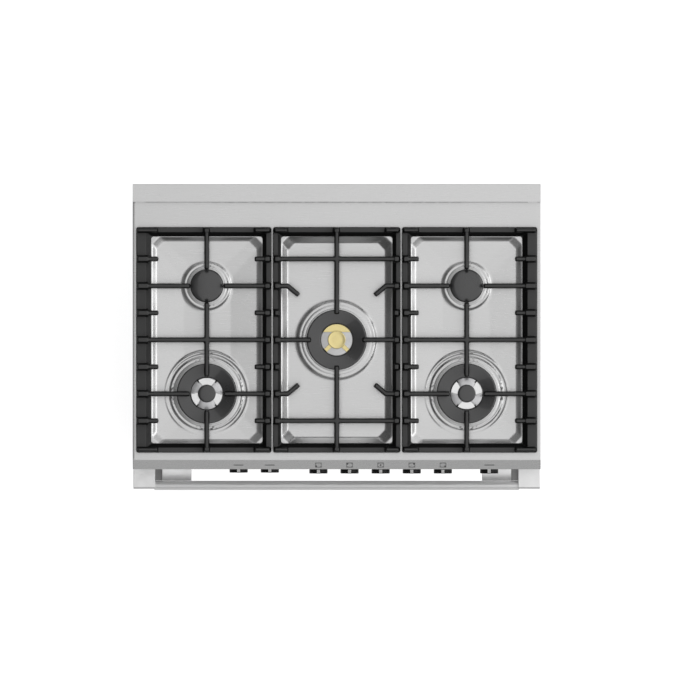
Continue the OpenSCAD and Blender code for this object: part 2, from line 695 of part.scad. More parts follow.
FAN_PLATE_Y = OVEN_BACK - 34;
module fan_cover() {
    color([0.17, 0.18, 0.22]) difference() {
        box([-130, FAN_PLATE_Y, FAN_Z - 130], [130, OVEN_BACK, FAN_Z + 130]);
        box([-128, FAN_PLATE_Y + 2, FAN_Z - 128], [128, OVEN_BACK + 1, FAN_Z + 128]);
        for (ring = [1 : 4], i = [0 : ring * 6 - 1])
            rotate_about_fan(i * 60 / ring) rod_y(FAN_PLATE_Y - 5, FAN_PLATE_Y + 5, ring * 17, 0, 5);
        for (s = [-1, 1], i = [-5 : 5]) box([s * 129 - 5, FAN_PLATE_Y + 10, FAN_Z + i * 20 - 6],
            [s * 129 + 5, FAN_PLATE_Y + 22, FAN_Z + i * 20 + 6]);
    }
}

module rotate_about_fan(a) { translate([0, 0, FAN_Z]) rotate([0, a, 0]) children(); }

module fan_motor() {
    color("dimgray") {
        rod_y(OVEN_BACK + 26, OVEN_BACK + 72, 0, FAN_Z, 38);
        rod_y(OVEN_BACK - 26, OVEN_BACK + 26, 0, FAN_Z, FAN_SHAFT_R);
        box([-60, OVEN_BACK + 24, FAN_Z - 8], [60, OVEN_BACK + 26, FAN_Z + 8]);
    }
}

FAN_R = 72;
module fan_blade() {
    color("silver") difference() {
        union() {
            rod_y(OVEN_BACK - 10, OVEN_BACK - 8.5, 0, FAN_Z, FAN_R);
            rod_y(OVEN_BACK - 20, OVEN_BACK - 8.5, 0, FAN_Z, 11);
            for (i = [0 : 11]) rotate_about_fan(i * 30)
                box([28, OVEN_BACK - 24, -0.8], [FAN_R - 2, OVEN_BACK - 9, 0.8]);
        }
        rod_y(OVEN_BACK - 40, OVEN_BACK, 0, FAN_Z, FAN_SHAFT_R + RUN_FIT);
    }
}

LAMP = [270, 585];
module oven_lamp() {
    color("ivory") {
        rod_y(OVEN_BACK - 16, OVEN_BACK - 4, LAMP[0], LAMP[1], 22);
        rod_y(OVEN_BACK - 4, OVEN_BACK, LAMP[0], LAMP[1], 26);
        rod_y(OVEN_BACK, OVEN_BACK + 30, LAMP[0], LAMP[1], 16);
    }
}

WIRE_R = 2.5;
module rack_guides() {
    x = OVEN_X - 8;
    color("silver") both_sides() {
        for (y = [-180, 0, 170]) rod_z(OVEN_FLOOR_Z + 60, OVEN_TOP - 60, x, y, WIRE_R);
        for (i = [0 : 4])
            rod_y(RACK_Y0 + 6, RACK_Y1 - 6, x - 4.5, OVEN_FLOOR_Z + 84 + i * 50 + 25, WIRE_R);
        for (z = [OVEN_FLOOR_Z + 60, OVEN_TOP - 60]) rod_y(-180, 170, x, z, WIRE_R);
    }
}

module rack(z) {
    for (s = [-1, 1]) rod_y(RACK_Y0, RACK_Y1, s * RACK_X, z, 3);
    for (y = [RACK_Y0, RACK_Y1]) rod_x(-RACK_X, RACK_X, y, z, 3);
    rod_x(-RACK_X, RACK_X, (RACK_Y0 + RACK_Y1) / 2, z - 4, 3);
    for (i = [-11 : 11]) rod_y(RACK_Y0, RACK_Y1, i * 30, z, 2);
}

module oven_racks() { color("silver") for (z = RACK_Z) rack(z); }

WRAP = 20;
module insulation() {
    color("khaki") difference() {
        box([-OVEN_X - sheet - WRAP, FRAME_Y + 6, OVEN_LOW - sheet - WRAP],
            [OVEN_X + sheet + WRAP, OVEN_BACK + sheet + WRAP, OVEN_TOP + sheet + WRAP]);
        box([-OVEN_X - sheet, FRAME_Y - 5, OVEN_LOW - sheet],
            [OVEN_X + sheet, OVEN_BACK + sheet, OVEN_TOP + sheet]);
        rod_y(OVEN_BACK - 5, OVEN_BACK + 40, 0, FAN_Z, 9);
        rod_y(OVEN_BACK - 5, OVEN_BACK + 40, LAMP[0], LAMP[1], 18);
        box([-64, OVEN_BACK - 5, OVEN_TOP - 46], [64, OVEN_BACK + 40, OVEN_TOP - 8]);
    }
}

module flue_duct() {
    y0 = OVEN_BACK + sheet;
    color("silver") difference() {
        union() {
            box([-62, y0, OVEN_TOP - 44], [62, y0 + 70, OVEN_TOP - 10]);
            box([-62, y0 + 40, OVEN_TOP - 44], [62, y0 + 70, SKIRT_Z - 8]);
        }
        box([-61, y0 - 1, OVEN_TOP - 43], [61, y0 + 69, OVEN_TOP - 11]);
        box([-61, y0 + 41, OVEN_TOP - 43], [61, y0 + 69, SKIRT_Z]);
    }
}

// ---- door ----

module door_gasket() {
    color([0.2, 0.2, 0.2]) difference() {
        box([-OVEN_X - 14, DOOR_BACK + 0.3, OVEN_FLOOR_Z - 16], [OVEN_X + 14, FRAME_Y, OVEN_TOP + 14]);
        box([-OVEN_X - 4, DOOR_BACK - 5, OVEN_FLOOR_Z - 6], [OVEN_X + 4, FRAME_Y + 5, OVEN_TOP + 4]);
    }
}

module door_hinge_arms() {
    color("silver") both_sides() difference() {
        union() {
            box([HINGE_X - 5, HINGE_Y, HINGE_Z - 6], [HINGE_X + 5, FRAME_Y + 10, HINGE_Z + 6]);
            rod_x(HINGE_X - 5, HINGE_X + 5, HINGE_Y, HINGE_Z, 8);
            box([HINGE_X - 7, FRAME_Y + 5, HINGE_Z - 6], [HINGE_X + 7, FRAME_Y + 70, HINGE_Z + 26]);
        }
        rod_x(HINGE_X - 9, HINGE_X + 9, HINGE_Y, HINGE_Z, HINGE_PIN_R + RUN_FIT);
    }
}

// Clearance for the hinge arms in the door's sheets
module hinge_notches() {
    both_sides()
        box([HINGE_X - 8, HINGE_Y - 12, DOOR_Z0 - 5], [HINGE_X + 8, DOOR_BACK + 5, HINGE_Z + 10]);
}

module door_hinge_channels() {
    color("silver") both_sides() difference() {
        union() {
            box([HINGE_X - 12, DOOR_FRONT + 3, HINGE_Z - 8], [HINGE_X + 12, DOOR_BACK - 3, HINGE_Z + 190]);
        }
        box([HINGE_X - 10, DOOR_FRONT + 5, HINGE_Z - 9], [HINGE_X + 10, DOOR_BACK, HINGE_Z + 191]);
    }
    color("silver") both_sides()
        rod_x(HINGE_X - 12, HINGE_X + 12, HINGE_Y, HINGE_Z, HINGE_PIN_R);
}

module door_outer_panel() {
    color("lightgray") difference() {
        box([-DOOR_X, DOOR_FRONT, DOOR_Z0], [DOOR_X, DOOR_BACK - 14, DOOR_Z1]);
        box([-DOOR_X + SKIN, DOOR_FRONT + SKIN, DOOR_Z0 + SKIN],
            [DOOR_X - SKIN, DOOR_BACK, DOOR_Z1 - SKIN]);
        box([-WINDOW[0], DOOR_FRONT - 5, WINDOW[1]], [WINDOW[0], DOOR_FRONT + 5, WINDOW[2]]);
        hinge_notches();
    }
}

module door_outer_glass() {
    color([0.1, 0.1, 0.12, 0.6])
        box([-WINDOW[0] - 15, DOOR_FRONT + SKIN, WINDOW[1] - 15],
            [WINDOW[0] + 15, DOOR_FRONT + SKIN + 4, WINDOW[2] + 15]);
}

module door_inner_panel() {
    color([0.2, 0.21, 0.25]) difference() {
        box([-DOOR_X + 1, DOOR_BACK - 14, DOOR_Z0], [DOOR_X - 1, DOOR_BACK, DOOR_Z1]);
        box([-DOOR_X + 1 + SKIN, DOOR_BACK - 15, DOOR_Z0 + SKIN],
            [DOOR_X - 1 - SKIN, DOOR_BACK - SKIN, DOOR_Z1 - SKIN]);
        box([-WINDOW[0] + 20, DOOR_BACK - 20, WINDOW[1] + 10], [WINDOW[0] - 20, DOOR_BACK + 5, WINDOW[2] - 10]);
        hinge_notches();
    }
}

module door_inner_glass() {
    color([0.6, 0.65, 0.65, 0.4])
        box([-WINDOW[0] + 8, DOOR_BACK - SKIN - 4, WINDOW[1] - 2],
            [WINDOW[0] - 8, DOOR_BACK - SKIN, WINDOW[2] + 2]);
}

// Points of an arc in Y and Z, from one angle to another
function arc(y, z, r, a0, a1) =
    [for (i = [0 : ARC_STEPS]) [y + r * cos(a0 + (a1 - a0) * i / ARC_STEPS),
                                z + r * sin(a0 + (a1 - a0) * i / ARC_STEPS)]];

// A bar along X that runs forward from the door and has a rounded front edge
module nose_bar(x0, x1, front, round_r) {
    z0 = handle_z - HANDLE_H / 2;
    z1 = handle_z + HANDLE_H / 2;
    prism_x(concat([[DOOR_FRONT, z0], [DOOR_FRONT, z1]], arc(front + round_r, z1 - round_r, round_r, 90, 180),
                   arc(front + round_r, z0 + round_r, round_r, 180, 270)), x0, x1);
}

// Cast bracket at one end of the handle: end block, lower web and bullnose foot
module handle_bracket() {
    z0 = handle_z - HANDLE_H / 2;
    difference() {
        nose_bar(BLOCK_X, HALF_W, FRONT_Y + 3, 5);
        rod_x(BLOCK_X - 1, BLOCK_X + 18, HANDLE_Y, handle_z, handle_d / 2 + RUN_FIT);
    }
    box([FOOT_X[1] - 1, HANDLE_Y + handle_d / 2 + 0.4, z0], [BLOCK_X + 1, DOOR_FRONT, z0 + 9]);
    nose_bar(FOOT_X[0], FOOT_X[1], HANDLE_Y + handle_d / 2 + 0.4, HANDLE_H / 2 - 0.5);
}

module handle_brackets() { color("lightgray") both_sides() handle_bracket(); }

module handle_tube() {
    color("silver") rod_x(-BLOCK_X - 17, BLOCK_X + 17, HANDLE_Y, handle_z, handle_d / 2);
}

side_panels();
back_panel();
base_tray();
front_frame();
cooktop();
back_trim();
control_panel();
gas_manifold();
gas_valves();
gas_regulator();
burner_tubes();
burner_cups();
burner_heads();
burner_caps();
dual_ring_caps();
center_flame_ring();
center_cap();
igniters();
spark_module();
oven_switches();
oven_liner();
oven_floor();
oven_burners();
fan_motor();
fan_blade();
fan_cover();
oven_lamp();
rack_guides();
oven_racks();
insulation();
flue_duct();
door_gasket();
door_hinge_arms();
legs();
kick_plate();
panel_screws();
cord_gland();
door_outer_panel();
door_outer_glass();
door_inner_panel();
door_inner_glass();
door_hinge_channels();
handle_tube();
handle_brackets();
grate_left();
grate_center();
grate_right();
knob(0, OVEN_KNOB_GAP, KNOB_FRONT + 2);  // function_knob
knob(1, OVEN_KNOB_GAP, KNOB_FRONT + 2);  // temperature_knob
knob(7, OVEN_KNOB_GAP, KNOB_FRONT);  // timer_knob
burner_knob(1);  // burner_knob_1
burner_knob(2);  // burner_knob_2
burner_knob(3);  // burner_knob_3
burner_knob(4);  // burner_knob_4
burner_knob(5);  // burner_knob_5
valve_stem(1);  // valve_stem_1
valve_stem(2);  // valve_stem_2
valve_stem(3);  // valve_stem_3
valve_stem(4);  // valve_stem_4
valve_stem(5);  // valve_stem_5
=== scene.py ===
"""Looks of a freestanding gas range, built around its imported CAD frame.

Sizes are in millimetres in the CAD frame (+X right, +Y back, +Z up) and are turned into metres
when a piece's mesh is made.
"""

import math

import bmesh
import bpy
import numpy as np
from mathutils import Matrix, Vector


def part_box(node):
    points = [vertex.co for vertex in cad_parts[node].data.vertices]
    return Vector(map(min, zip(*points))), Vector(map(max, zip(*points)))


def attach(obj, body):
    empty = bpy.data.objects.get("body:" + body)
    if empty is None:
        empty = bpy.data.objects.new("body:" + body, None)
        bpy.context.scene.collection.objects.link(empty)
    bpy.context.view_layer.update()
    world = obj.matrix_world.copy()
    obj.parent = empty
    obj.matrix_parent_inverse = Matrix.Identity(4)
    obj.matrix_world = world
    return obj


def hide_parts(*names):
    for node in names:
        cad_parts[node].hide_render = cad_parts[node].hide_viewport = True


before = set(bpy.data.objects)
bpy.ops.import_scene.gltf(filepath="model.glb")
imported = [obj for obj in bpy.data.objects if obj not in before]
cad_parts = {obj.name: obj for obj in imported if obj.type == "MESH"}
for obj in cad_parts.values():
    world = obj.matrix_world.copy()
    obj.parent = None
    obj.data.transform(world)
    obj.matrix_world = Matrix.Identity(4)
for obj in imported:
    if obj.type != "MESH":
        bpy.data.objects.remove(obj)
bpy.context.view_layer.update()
MM = 0.001
WELD_DISTANCE = 1e-6


def box_mm(node):
    """Lowest and highest corner of a CAD node in millimetres."""
    low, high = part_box(node)
    return np.array(low) / MM, np.array(high) / MM


# ---- driving sizes, from the frame

TOP_LO, TOP_HI = box_mm("cooktop")
PANEL_LO, PANEL_HI = box_mm("control_panel")
CAPS_HI = box_mm("burner_caps")[1]
RINGS_LO, RINGS_HI = box_mm("dual_ring_caps")
TUBE_LO, TUBE_HI = box_mm("handle_tube")
BRACKET_LO, BRACKET_HI = box_mm("handle_brackets")
DOOR_LO, DOOR_HI = box_mm("door_outer_panel")

HALF_W = TOP_HI[0]
TOP_Z = TOP_HI[2]
FRONT_Y = TOP_LO[1]
SEAM_Y = TOP_HI[1]
SKIRT_H = TOP_HI[2] - TOP_LO[2]
RIM_OVER = 1.3
BASIN_DEPTH = 12.0
BASIN_Z = TOP_Z - BASIN_DEPTH
DOME_H = 6.0

# Burners, from the caps' places
SINGLE_CAP_R = 36.0
RING_CAP_R = 66.0
BURNER_X = RINGS_HI[0] - RING_CAP_R
REAR_Y = CAPS_HI[1] - SINGLE_CAP_R
FRONT_BURNER_Y = RINGS_LO[1] + RING_CAP_R
MID_Y = RINGS_HI[1] - RING_CAP_R
SINGLES = [(-BURNER_X, REAR_Y), (BURNER_X, REAR_Y)]
FRONTS = [(-BURNER_X, FRONT_BURNER_Y), (BURNER_X, FRONT_BURNER_Y)]
MIDDLE = (0.0, MID_Y)
HEAD_Z = BASIN_Z + DOME_H + 2


# ---- materials

def sockets(tree):
    """The inputs of a material's principled shader."""
    return tree.nodes["Principled BSDF"].inputs


def shader(name, base, metallic, roughness):
    """A new material and its node tree."""
    mat = bpy.data.materials.new(name)
    mat.use_nodes = True
    inputs = sockets(mat.node_tree)
    inputs["Base Color"].default_value = (*base, 1.0)
    inputs["Metallic"].default_value = metallic
    inputs["Roughness"].default_value = roughness
    return mat, mat.node_tree


def noise(tree, scale, stretch=(1, 1, 1), detail=3.0):
    """A noise texture in the object's own coordinates, in cycles per metre along each axis."""
    coords = tree.nodes.new("ShaderNodeTexCoord")
    mapping = tree.nodes.new("ShaderNodeMapping")
    mapping.inputs["Scale"].default_value = stretch
    texture = tree.nodes.new("ShaderNodeTexNoise")
    texture.inputs["Scale"].default_value = scale
    texture.inputs["Detail"].default_value = detail
    tree.links.new(coords.outputs["Object"], mapping.inputs["Vector"])
    tree.links.new(mapping.outputs["Vector"], texture.inputs["Vector"])
    return texture.outputs["Fac"]


def ramp(tree, value, stops):
    """A colour ramp over value, with stops of (place, colour)."""
    node = tree.nodes.new("ShaderNodeValToRGB")
    while len(node.color_ramp.elements) < len(stops):
        node.color_ramp.elements.new(0.5)
    for element, (place_at, colour) in zip(node.color_ramp.elements, stops):
        element.position = place_at
        element.color = (*colour, 1.0)
    tree.links.new(value, node.inputs["Fac"])
    return node.outputs["Color"]


def multiply_add(tree, value, factor, addend=None):
    """value * factor + addend."""
    node = tree.nodes.new("ShaderNodeMath")
    node.operation = "MULTIPLY_ADD"
    node.inputs[1].default_value = factor
    node.inputs[2].default_value = 0.0
    tree.links.new(value, node.inputs[0])
    if addend:
        tree.links.new(addend, node.inputs[2])
    return node.outputs[0]


def tint(tree, value, base, contrast):
    """Base colour that varies with value, by contrast to either side."""
    spread = 0.18
    stops = [(0.5 - spread, [c * (1 - contrast) for c in base]),
             (0.5 + spread, [c * (1 + contrast) for c in base])]
    tree.links.new(ramp(tree, value, stops), sockets(tree)["Base Color"])


def vary_roughness(tree, value, low, high):
    span = tree.nodes.new("ShaderNodeMapRange")
    for socket, level in (("From Min", 0.3), ("From Max", 0.7), ("To Min", low), ("To Max", high)):
        span.inputs[socket].default_value = level
    tree.links.new(value, span.inputs["Value"])
    tree.links.new(span.outputs["Result"], sockets(tree)["Roughness"])


def bump(tree, value, strength, depth):
    node = tree.nodes.new("ShaderNodeBump")
    node.inputs["Strength"].default_value = strength
    node.inputs["Distance"].default_value = depth
    tree.links.new(value, node.inputs["Height"])
    tree.links.new(node.outputs["Normal"], sockets(tree)["Normal"])


def brushed(name, base, roughness, contrast, along="x", metallic=1.0):
    """Brushed sheet metal with fine scratches along one axis and a faint cloudiness."""
    mat, tree = shader(name, base, metallic, roughness)
    stretch = {"x": (0.02, 1, 1), "y": (1, 0.02, 1)}[along]
    grain = noise(tree, 900, stretch, 4)
    cloud = noise(tree, 9, detail=2)
    mixed = multiply_add(tree, grain, 0.85, multiply_add(tree, cloud, 0.15))
    tint(tree, mixed, base, contrast)
    vary_roughness(tree, mixed, roughness - 0.05, roughness + 0.07)
    bump(tree, grain, 0.12, 0.00004)
    return mat


def grainy(name, base, roughness, scale, strength, depth, metallic=0.0, contrast=0.12,
           coat=0.0, specular=0.5):
    """A cast, painted or moulded surface: fine grain in colour, roughness and bump."""
    mat, tree = shader(name, base, metallic, roughness)
    sockets(tree)["Coat Weight"].default_value = coat
    sockets(tree)["Specular IOR Level"].default_value = specular
    fine = noise(tree, scale, detail=4)
    broad = noise(tree, scale / 22)
    tint(tree, broad, base, contrast)
    vary_roughness(tree, broad, max(0.03, roughness - 0.06), roughness + 0.06)
    bump(tree, fine, strength, depth)
    return mat


def speckled_enamel(name, base, fleck, roughness=0.22):
    """Vitreous enamel: glossy, dark, with small pale flecks and a faint orange peel."""
    mat, tree = shader(name, base, 0.0, roughness)
    sockets(tree)["Coat Weight"].default_value = 0.4
    spots = noise(tree, 700, detail=1)
    tree.links.new(ramp(tree, spots, [(0.66, base), (0.70, fleck)]), sockets(tree)["Base Color"])
    peel = noise(tree, 140, detail=2)
    vary_roughness(tree, peel, roughness - 0.05, roughness + 0.08)
    bump(tree, peel, 0.08, 0.0002)
    return mat


def glassy(name, base, alpha, roughness=0.04):
    """Clear or tinted glass with faint smears in its gloss."""
    mat, tree = shader(name, base, 0.0, roughness)
    sockets(tree)["Alpha"].default_value = alpha
    sockets(tree)["Coat Weight"].default_value = 0.6
    smears = noise(tree, 22, (1, 1, 3))
    vary_roughness(tree, smears, roughness, roughness + 0.07)
    tint(tree, smears, base, 0.1)
    return mat


def cast_iron(name, base, flank_shade):
    """Matt cast iron with painted light: grey on its top faces, a painted highlight on faces turned towards
    +X and painted shade down its flanks.
    """
    mat, tree = shader(name, base, 0.0, 0.5)
    sockets(tree)["Specular IOR Level"].default_value = 0.12
    geometry = tree.nodes.new("ShaderNodeNewGeometry")
    facing = tree.nodes.new("ShaderNodeSeparateXYZ")
    tree.links.new(geometry.outputs["Normal"], facing.inputs[0])
    grain = noise(tree, 1100, detail=4)
    cloud = noise(tree, 45)
    # Painted light: the colour is darker on faces turned away from up and lighter on faces turned towards
    # +X, as if lit from the right.
    up_facing_shade_and_tone = multiply_add(tree, cloud, 0.10, facing.outputs["Z"])
    lean = multiply_add(tree, facing.outputs["X"], 0.22, up_facing_shade_and_tone)
    colour = ramp(tree, lean, [(0.70, flank_shade), (1.0, base)])
    tree.links.new(colour, sockets(tree)["Base Color"])
    vary_roughness(tree, cloud, 0.44, 0.60)
    bump(tree, grain, 0.35, 0.0002)
    return mat


def grey(level):
    return (level, level, level)


# brushed: name, base, roughness, contrast. grainy: name, base, roughness, scale of the grain,
# strength and depth of its bump, metallic, contrast, coat, specular.
MATERIALS = {
    "top": brushed("brushed_worktop", grey(0.64), 0.3, 0.035),
    "trim": brushed("brushed_trim", grey(0.645), 0.3, 0.03),
    "panel": brushed("brushed_panel", grey(0.68), 0.26, 0.03),
    "door": brushed("brushed_door", grey(0.74), 0.3, 0.04),
    "side": grainy("painted_side", (0.42, 0.43, 0.44), 0.42, 700, 0.15, 1e-4, 0.25, 0.04),
    "tube": brushed("brushed_tube", grey(0.88), 0.34, 0.04, metallic=0.4),
    "cast_handle": grainy("satin_cast_handle", grey(0.86), 0.36, 1500, 0.04, 0.00002, 1.0, 0.03),
    # A darker copy of the handle's satin metal: painted shade for the recess between each end casting and
    # its foot.
    "web": grainy("painted_shade_web", grey(0.25), 0.4, 900, 0.1, 0.00005, 0.9, 0.06),
    "kick": brushed("brushed_kick", (0.52, 0.52, 0.53), 0.36, 0.05),
    # The second colour is painted shade for the grates' flanks.
    "iron": cast_iron("sand_cast_iron", grey(0.076), grey(0.004)),
    "enamel": grainy("black_enamel", (0.021, 0.021, 0.022), 0.3, 260, 0.06, 1e-4, 0.0, 0.15, 0.5, 0.8),
    "head": grainy("cast_burner_head", grey(0.62), 0.42, 900, 0.3, 1e-4, 1.0, 0.1),
    "petal": grainy("satin_flame_ring", (0.62, 0.62, 0.63), 0.4, 900, 0.2, 1e-4, 1.0, 0.08),
    "bright_petal": grainy("bright_flame_ring", grey(0.86), 0.34, 900, 0.15, 1e-4, 1.0, 0.05),
    "brass": grainy("satin_brass", (0.8, 0.68, 0.33), 0.32, 700, 0.15, 1e-4, 1.0, 0.07),
    "valve_brass": grainy("cast_brass_fittings", (0.62, 0.48, 0.2), 0.42, 500, 0.35, 2e-4, 1.0),
    # The knobs' black plastic; the same black is painted shade in the rings under the burner caps and in the
    # flame rings' notches.
    "knob": grainy("black_knob_and_painted_shade", grey(0.004), 0.34, 900, 0.06, 1e-4, 0.0, 0.2, 0.0, 0.25),
    "mark": grainy("white_inlay", (0.96, 0.96, 0.95), 0.45, 900, 0.08, 1e-4, 0.0, 0.03),
    "print": grainy("grey_print", grey(0.1), 0.55, 900, 0.05, 1e-4, 0.0, 0.1),
    "oven": speckled_enamel("speckled_enamel", (0.012, 0.014, 0.022), (0.2, 0.21, 0.24)),
    "frame": grainy("grey_frame_enamel", (0.1, 0.105, 0.11), 0.28, 180, 0.08, 2e-4, 0.0, 0.08, 0.3),
    "zinc": grainy("galvanised_sheet", (0.48, 0.49, 0.5), 0.4, 45, 0.2, 2e-4, 0.85, 0.16),
    "plated": grainy("plated_steel", (0.58, 0.58, 0.57), 0.3, 400, 0.15, 1e-4, 1.0, 0.08),
    "chrome": brushed("chromed_wire", grey(0.75), 0.14, 0.03, "y"),
    "motor": grainy("motor_paint", (0.1, 0.1, 0.11), 0.45, 500, 0.2, 2e-4, 0.3, 0.1),
    "zinc_cast": grainy("cast_regulator", (0.3, 0.3, 0.29), 0.55, 420, 0.45, 3e-4, 0.6, 0.14),
    "alu_tube": brushed("drawn_tube", (0.66, 0.67, 0.68), 0.28, 0.05, "y"),
    "alu_cup": grainy("cast_burner_cup", (0.45, 0.45, 0.46), 0.5, 600, 0.4, 2e-4, 1.0),
    "ceramic": grainy("white_ceramic", (0.8, 0.79, 0.75), 0.5, 800, 0.2, 1e-4, 0.0, 0.05),
    "plastic": grainy("black_moulding", (0.02, 0.02, 0.021), 0.48, 900, 0.25, 1e-4, 0.0, 0.15),
    "white_plastic": grainy("ivory_moulding", (0.62, 0.61, 0.55), 0.5, 900, 0.2, 1e-4, 0.0, 0.06),
    "rubber": grainy("woven_gasket", grey(0.045), 0.8, 1400, 0.8, 0.0004, 0.0, 0.25),
    "wool": grainy("mineral_wool", (0.55, 0.47, 0.22), 0.95, 260, 1.0, 0.002, 0.0, 0.25),
    "leg": grainy("leg_steel", (0.1, 0.1, 0.105), 0.42, 500, 0.2, 1e-4, 0.6),
    "dark_glass": glassy("dark_glass", (0.012, 0.013, 0.015), 0.82),
    "clear_glass": glassy("clear_glass", (0.25, 0.28, 0.27), 0.25),
    "lamp": glassy("lamp_glass", (0.75, 0.72, 0.62), 0.55),
    # Black print on the door glass, and also the black of the back trim's vent slots, where it is painted
    # shade.
    "frit_and_slot_shade": grainy("black_print_and_slot_shade", (0.008, 0.008, 0.009), 0.3, 900, 0.05, 1e-4, 0.0, 0.15),
}


# ---- mesh building

class Shape:
    """The vertices (millimetres) and faces of one piece while it is being built."""

    def __init__(self):
        self.points = []
        self.faces = []

    def add(self, points, faces):
        start = len(self.points)
        self.points += [tuple(float(c) for c in p) for p in points]
        self.faces += [[i + start for i in face] for face in faces]
        return self

    def mirrored_x(self):
        """The same shape on both sides of the YZ plane."""
        points, faces = list(self.points), list(self.faces)
        return self.add([(-x, y, z) for x, y, z in points], [face[::-1] for face in faces])


PLANES = {"x": (1, 2, 0), "y": (0, 2, 1), "z": (0, 1, 2)}


def place(u, v, w, axis):
    """A point with coordinates (u, v) across an axis and w along it."""
    point = [0.0, 0.0, 0.0]
    a, b, c = PLANES[axis]
    point[a], point[b], point[c] = u, v, w
    return tuple(point)


def signed_area(outline):
    return 0.5 * sum(p[0] * q[1] - q[0] * p[1]
                     for p, q in zip(outline, outline[1:] + outline[:1]))


def loft(shape, rings, strip_ends=False):
    """Skins rings of equal length. Each end is one face, or a strip between its ring's halves."""
    count = len(rings[0])
    faces = []
    for start in range(0, (len(rings) - 1) * count, count):
        for i in range(count):
            j = (i + 1) % count
            faces.append([start + i, start + j, start + count + j, start + count + i])
    end = [list(range(count))[::-1]]
    if strip_ends:
        end = [[k, k + 1, count - 2 - k, count - 1 - k] for k in range(count // 2 - 1)]
    last = (len(rings) - 1) * count
    faces += end + [[last + v for v in face[::-1]] for face in end]
    shape.add([p for ring in rings for p in ring], faces)


def prism(shape, outline, axis, low, high):
    """An outline across an axis, extruded from low to high along it."""
    flip = -1 if axis == "y" else 1
    if signed_area(outline) * flip < 0:
        outline = outline[::-1]
    loft(shape, [[place(u, v, w, axis) for u, v in outline] for w in (low, high)])


def unit(vector):
    return vector / np.linalg.norm(vector)


def corners(outline):
    """Each corner of an outline between its neighbours."""
    points = [np.array(p, float) for p in outline]
    return zip(points[-1:] + points[:-1], points, points[1:] + points[:1])


def shrink(outline, amount):
    """A convex outline, anticlockwise, with each side moved inwards by amount."""
    result = []
    for p, q, r in corners(outline):
        a, b = unit(q - p), unit(r - q)
        na, nb = np.array([-a[1], a[0]]), np.array([-b[1], b[0]])
        result.append(tuple(q + (na + nb) * amount / max(0.2, 1 + float(na @ nb))))
    return result


def drafted(shape, outline, low, high, draft, round_top):
    """A cast bar on the XY plane: its sides lean in by draft, and its top edge is rounded."""
    if signed_area(outline) < 0:
        outline = outline[::-1]
    steps = [(low, 0.0), (high - round_top, draft), (high - round_top * 0.3, draft + round_top * 0.3),
             (high, draft + round_top)]
    loft(shape, [[(u, v, z) for u, v in shrink(outline, inset)] for z, inset in steps])


def block(x0, x1, y0, y1):
    x0, x1 = sorted((x0, x1))
    y0, y1 = sorted((y0, y1))
    return [(x0, y0), (x1, y0), (x1, y1), (x0, y1)]


def round_corners(outline, radii, steps=6):
    """An outline with its corners rounded; radii is one number or one per corner."""
    if not isinstance(radii, (list, tuple)):
        radii = [radii] * len(outline)
    result = []
    for (p, q, r), radius in zip(corners(outline), radii):
        if radius <= 0:
            result.append(tuple(q))
            continue
        a, b = unit(p - q), unit(r - q)
        half = math.acos(max(-1.0, min(1.0, float(a @ b)))) / 2
        reach = radius / math.tan(half)
        centre = q + unit(a + b) * radius / math.sin(half)
        start, end = q + a * reach - centre, q + b * reach - centre
        a0 = math.atan2(start[1], start[0])
        sweep = (math.atan2(end[1], end[0]) - a0 + math.pi) % (2 * math.pi) - math.pi
        for k in range(steps + 1):
            t = a0 + sweep * k / steps
            result.append((centre[0] + radius * math.cos(t), centre[1] + radius * math.sin(t)))
    return result


def lathe(shape, profile, centre, axis="z", steps=96, direction=1):
    """Turns a profile of (radius, height) about an axis through centre. A radius of 0 is a pole."""
    cu, cv, cw = (centre[k] for k in PLANES[axis])
    points, faces, rows = [], [], []
    for radius, height in profile:
        ring = arc(cu, cv, radius, 0, 360, steps)[:-1] if radius else [(cu, cv)]
        rows.append(range(len(points), len(points) + len(ring)))
        points += [place(u, v, cw + direction * height, axis) for u, v in ring]
    for a, b in zip(rows, rows[1:]):
        for i in range(steps):
            j = (i + 1) % steps
            face = [a[i % len(a)], a[j % len(a)], b[j % len(b)], b[i % len(b)]]
            face = list(dict.fromkeys(face))
            if len(face) > 2:
                faces.append(face)
    shape.add(points, faces)


def arc(cx, cy, radius, a0, a1, steps):
    """Points along an arc between two angles in degrees."""
    return [(cx + radius * math.cos(t), cy + radius * math.sin(t))
            for t in np.radians(np.linspace(a0, a1, steps + 1))]


def sector(shape, centre, r0, r1, a0, a1, low, high, steps):
    """A flat ring sector between two angles in degrees."""
    outline = arc(*centre, r1, a0, a1, steps) + arc(*centre, r0, a1, a0, steps)
    prism(shape, outline, "z", low, high)


def spoke(cx, cy, turn, r0, r1, half):
    """Outline of a straight bar that points away from a centre."""
    c, s = math.cos(math.radians(turn)), math.sin(math.radians(turn))
    return [(cx + r * c - w * s, cy + r * s + w * c)
            for r, w in ((r0, -half), (r1, -half), (r1, half), (r0, half))]


def new_object(name, data):
    obj = bpy.data.objects.new(name, data)
    bpy.context.scene.collection.objects.link(obj)
    return obj


def new_mesh(name, shape, sharp):
    """The shape as a mesh in metres, with clean normals and edges sharp over an angle."""
    mesh = bpy.data.meshes.new(name)
    mesh.from_pydata([(x * MM, y * MM, z * MM) for x, y, z in shape.points], [], shape.faces)
    work = bmesh.new()
    work.from_mesh(mesh)
    loose = [v for v in work.verts if not v.link_faces]
    bmesh.ops.delete(work, geom=loose, context="VERTS")
    bmesh.ops.remove_doubles(work, verts=work.verts, dist=WELD_DISTANCE)
    bmesh.ops.recalc_face_normals(work, faces=work.faces)
    work.to_mesh(mesh)
    work.free()
    for polygon in mesh.polygons:
        polygon.use_smooth = True
    mesh.set_sharp_from_angle(angle=math.radians(sharp))
    return mesh


def paint(obj, material):
    obj.data.materials.clear()
    obj.data.materials.append(MATERIALS[material])


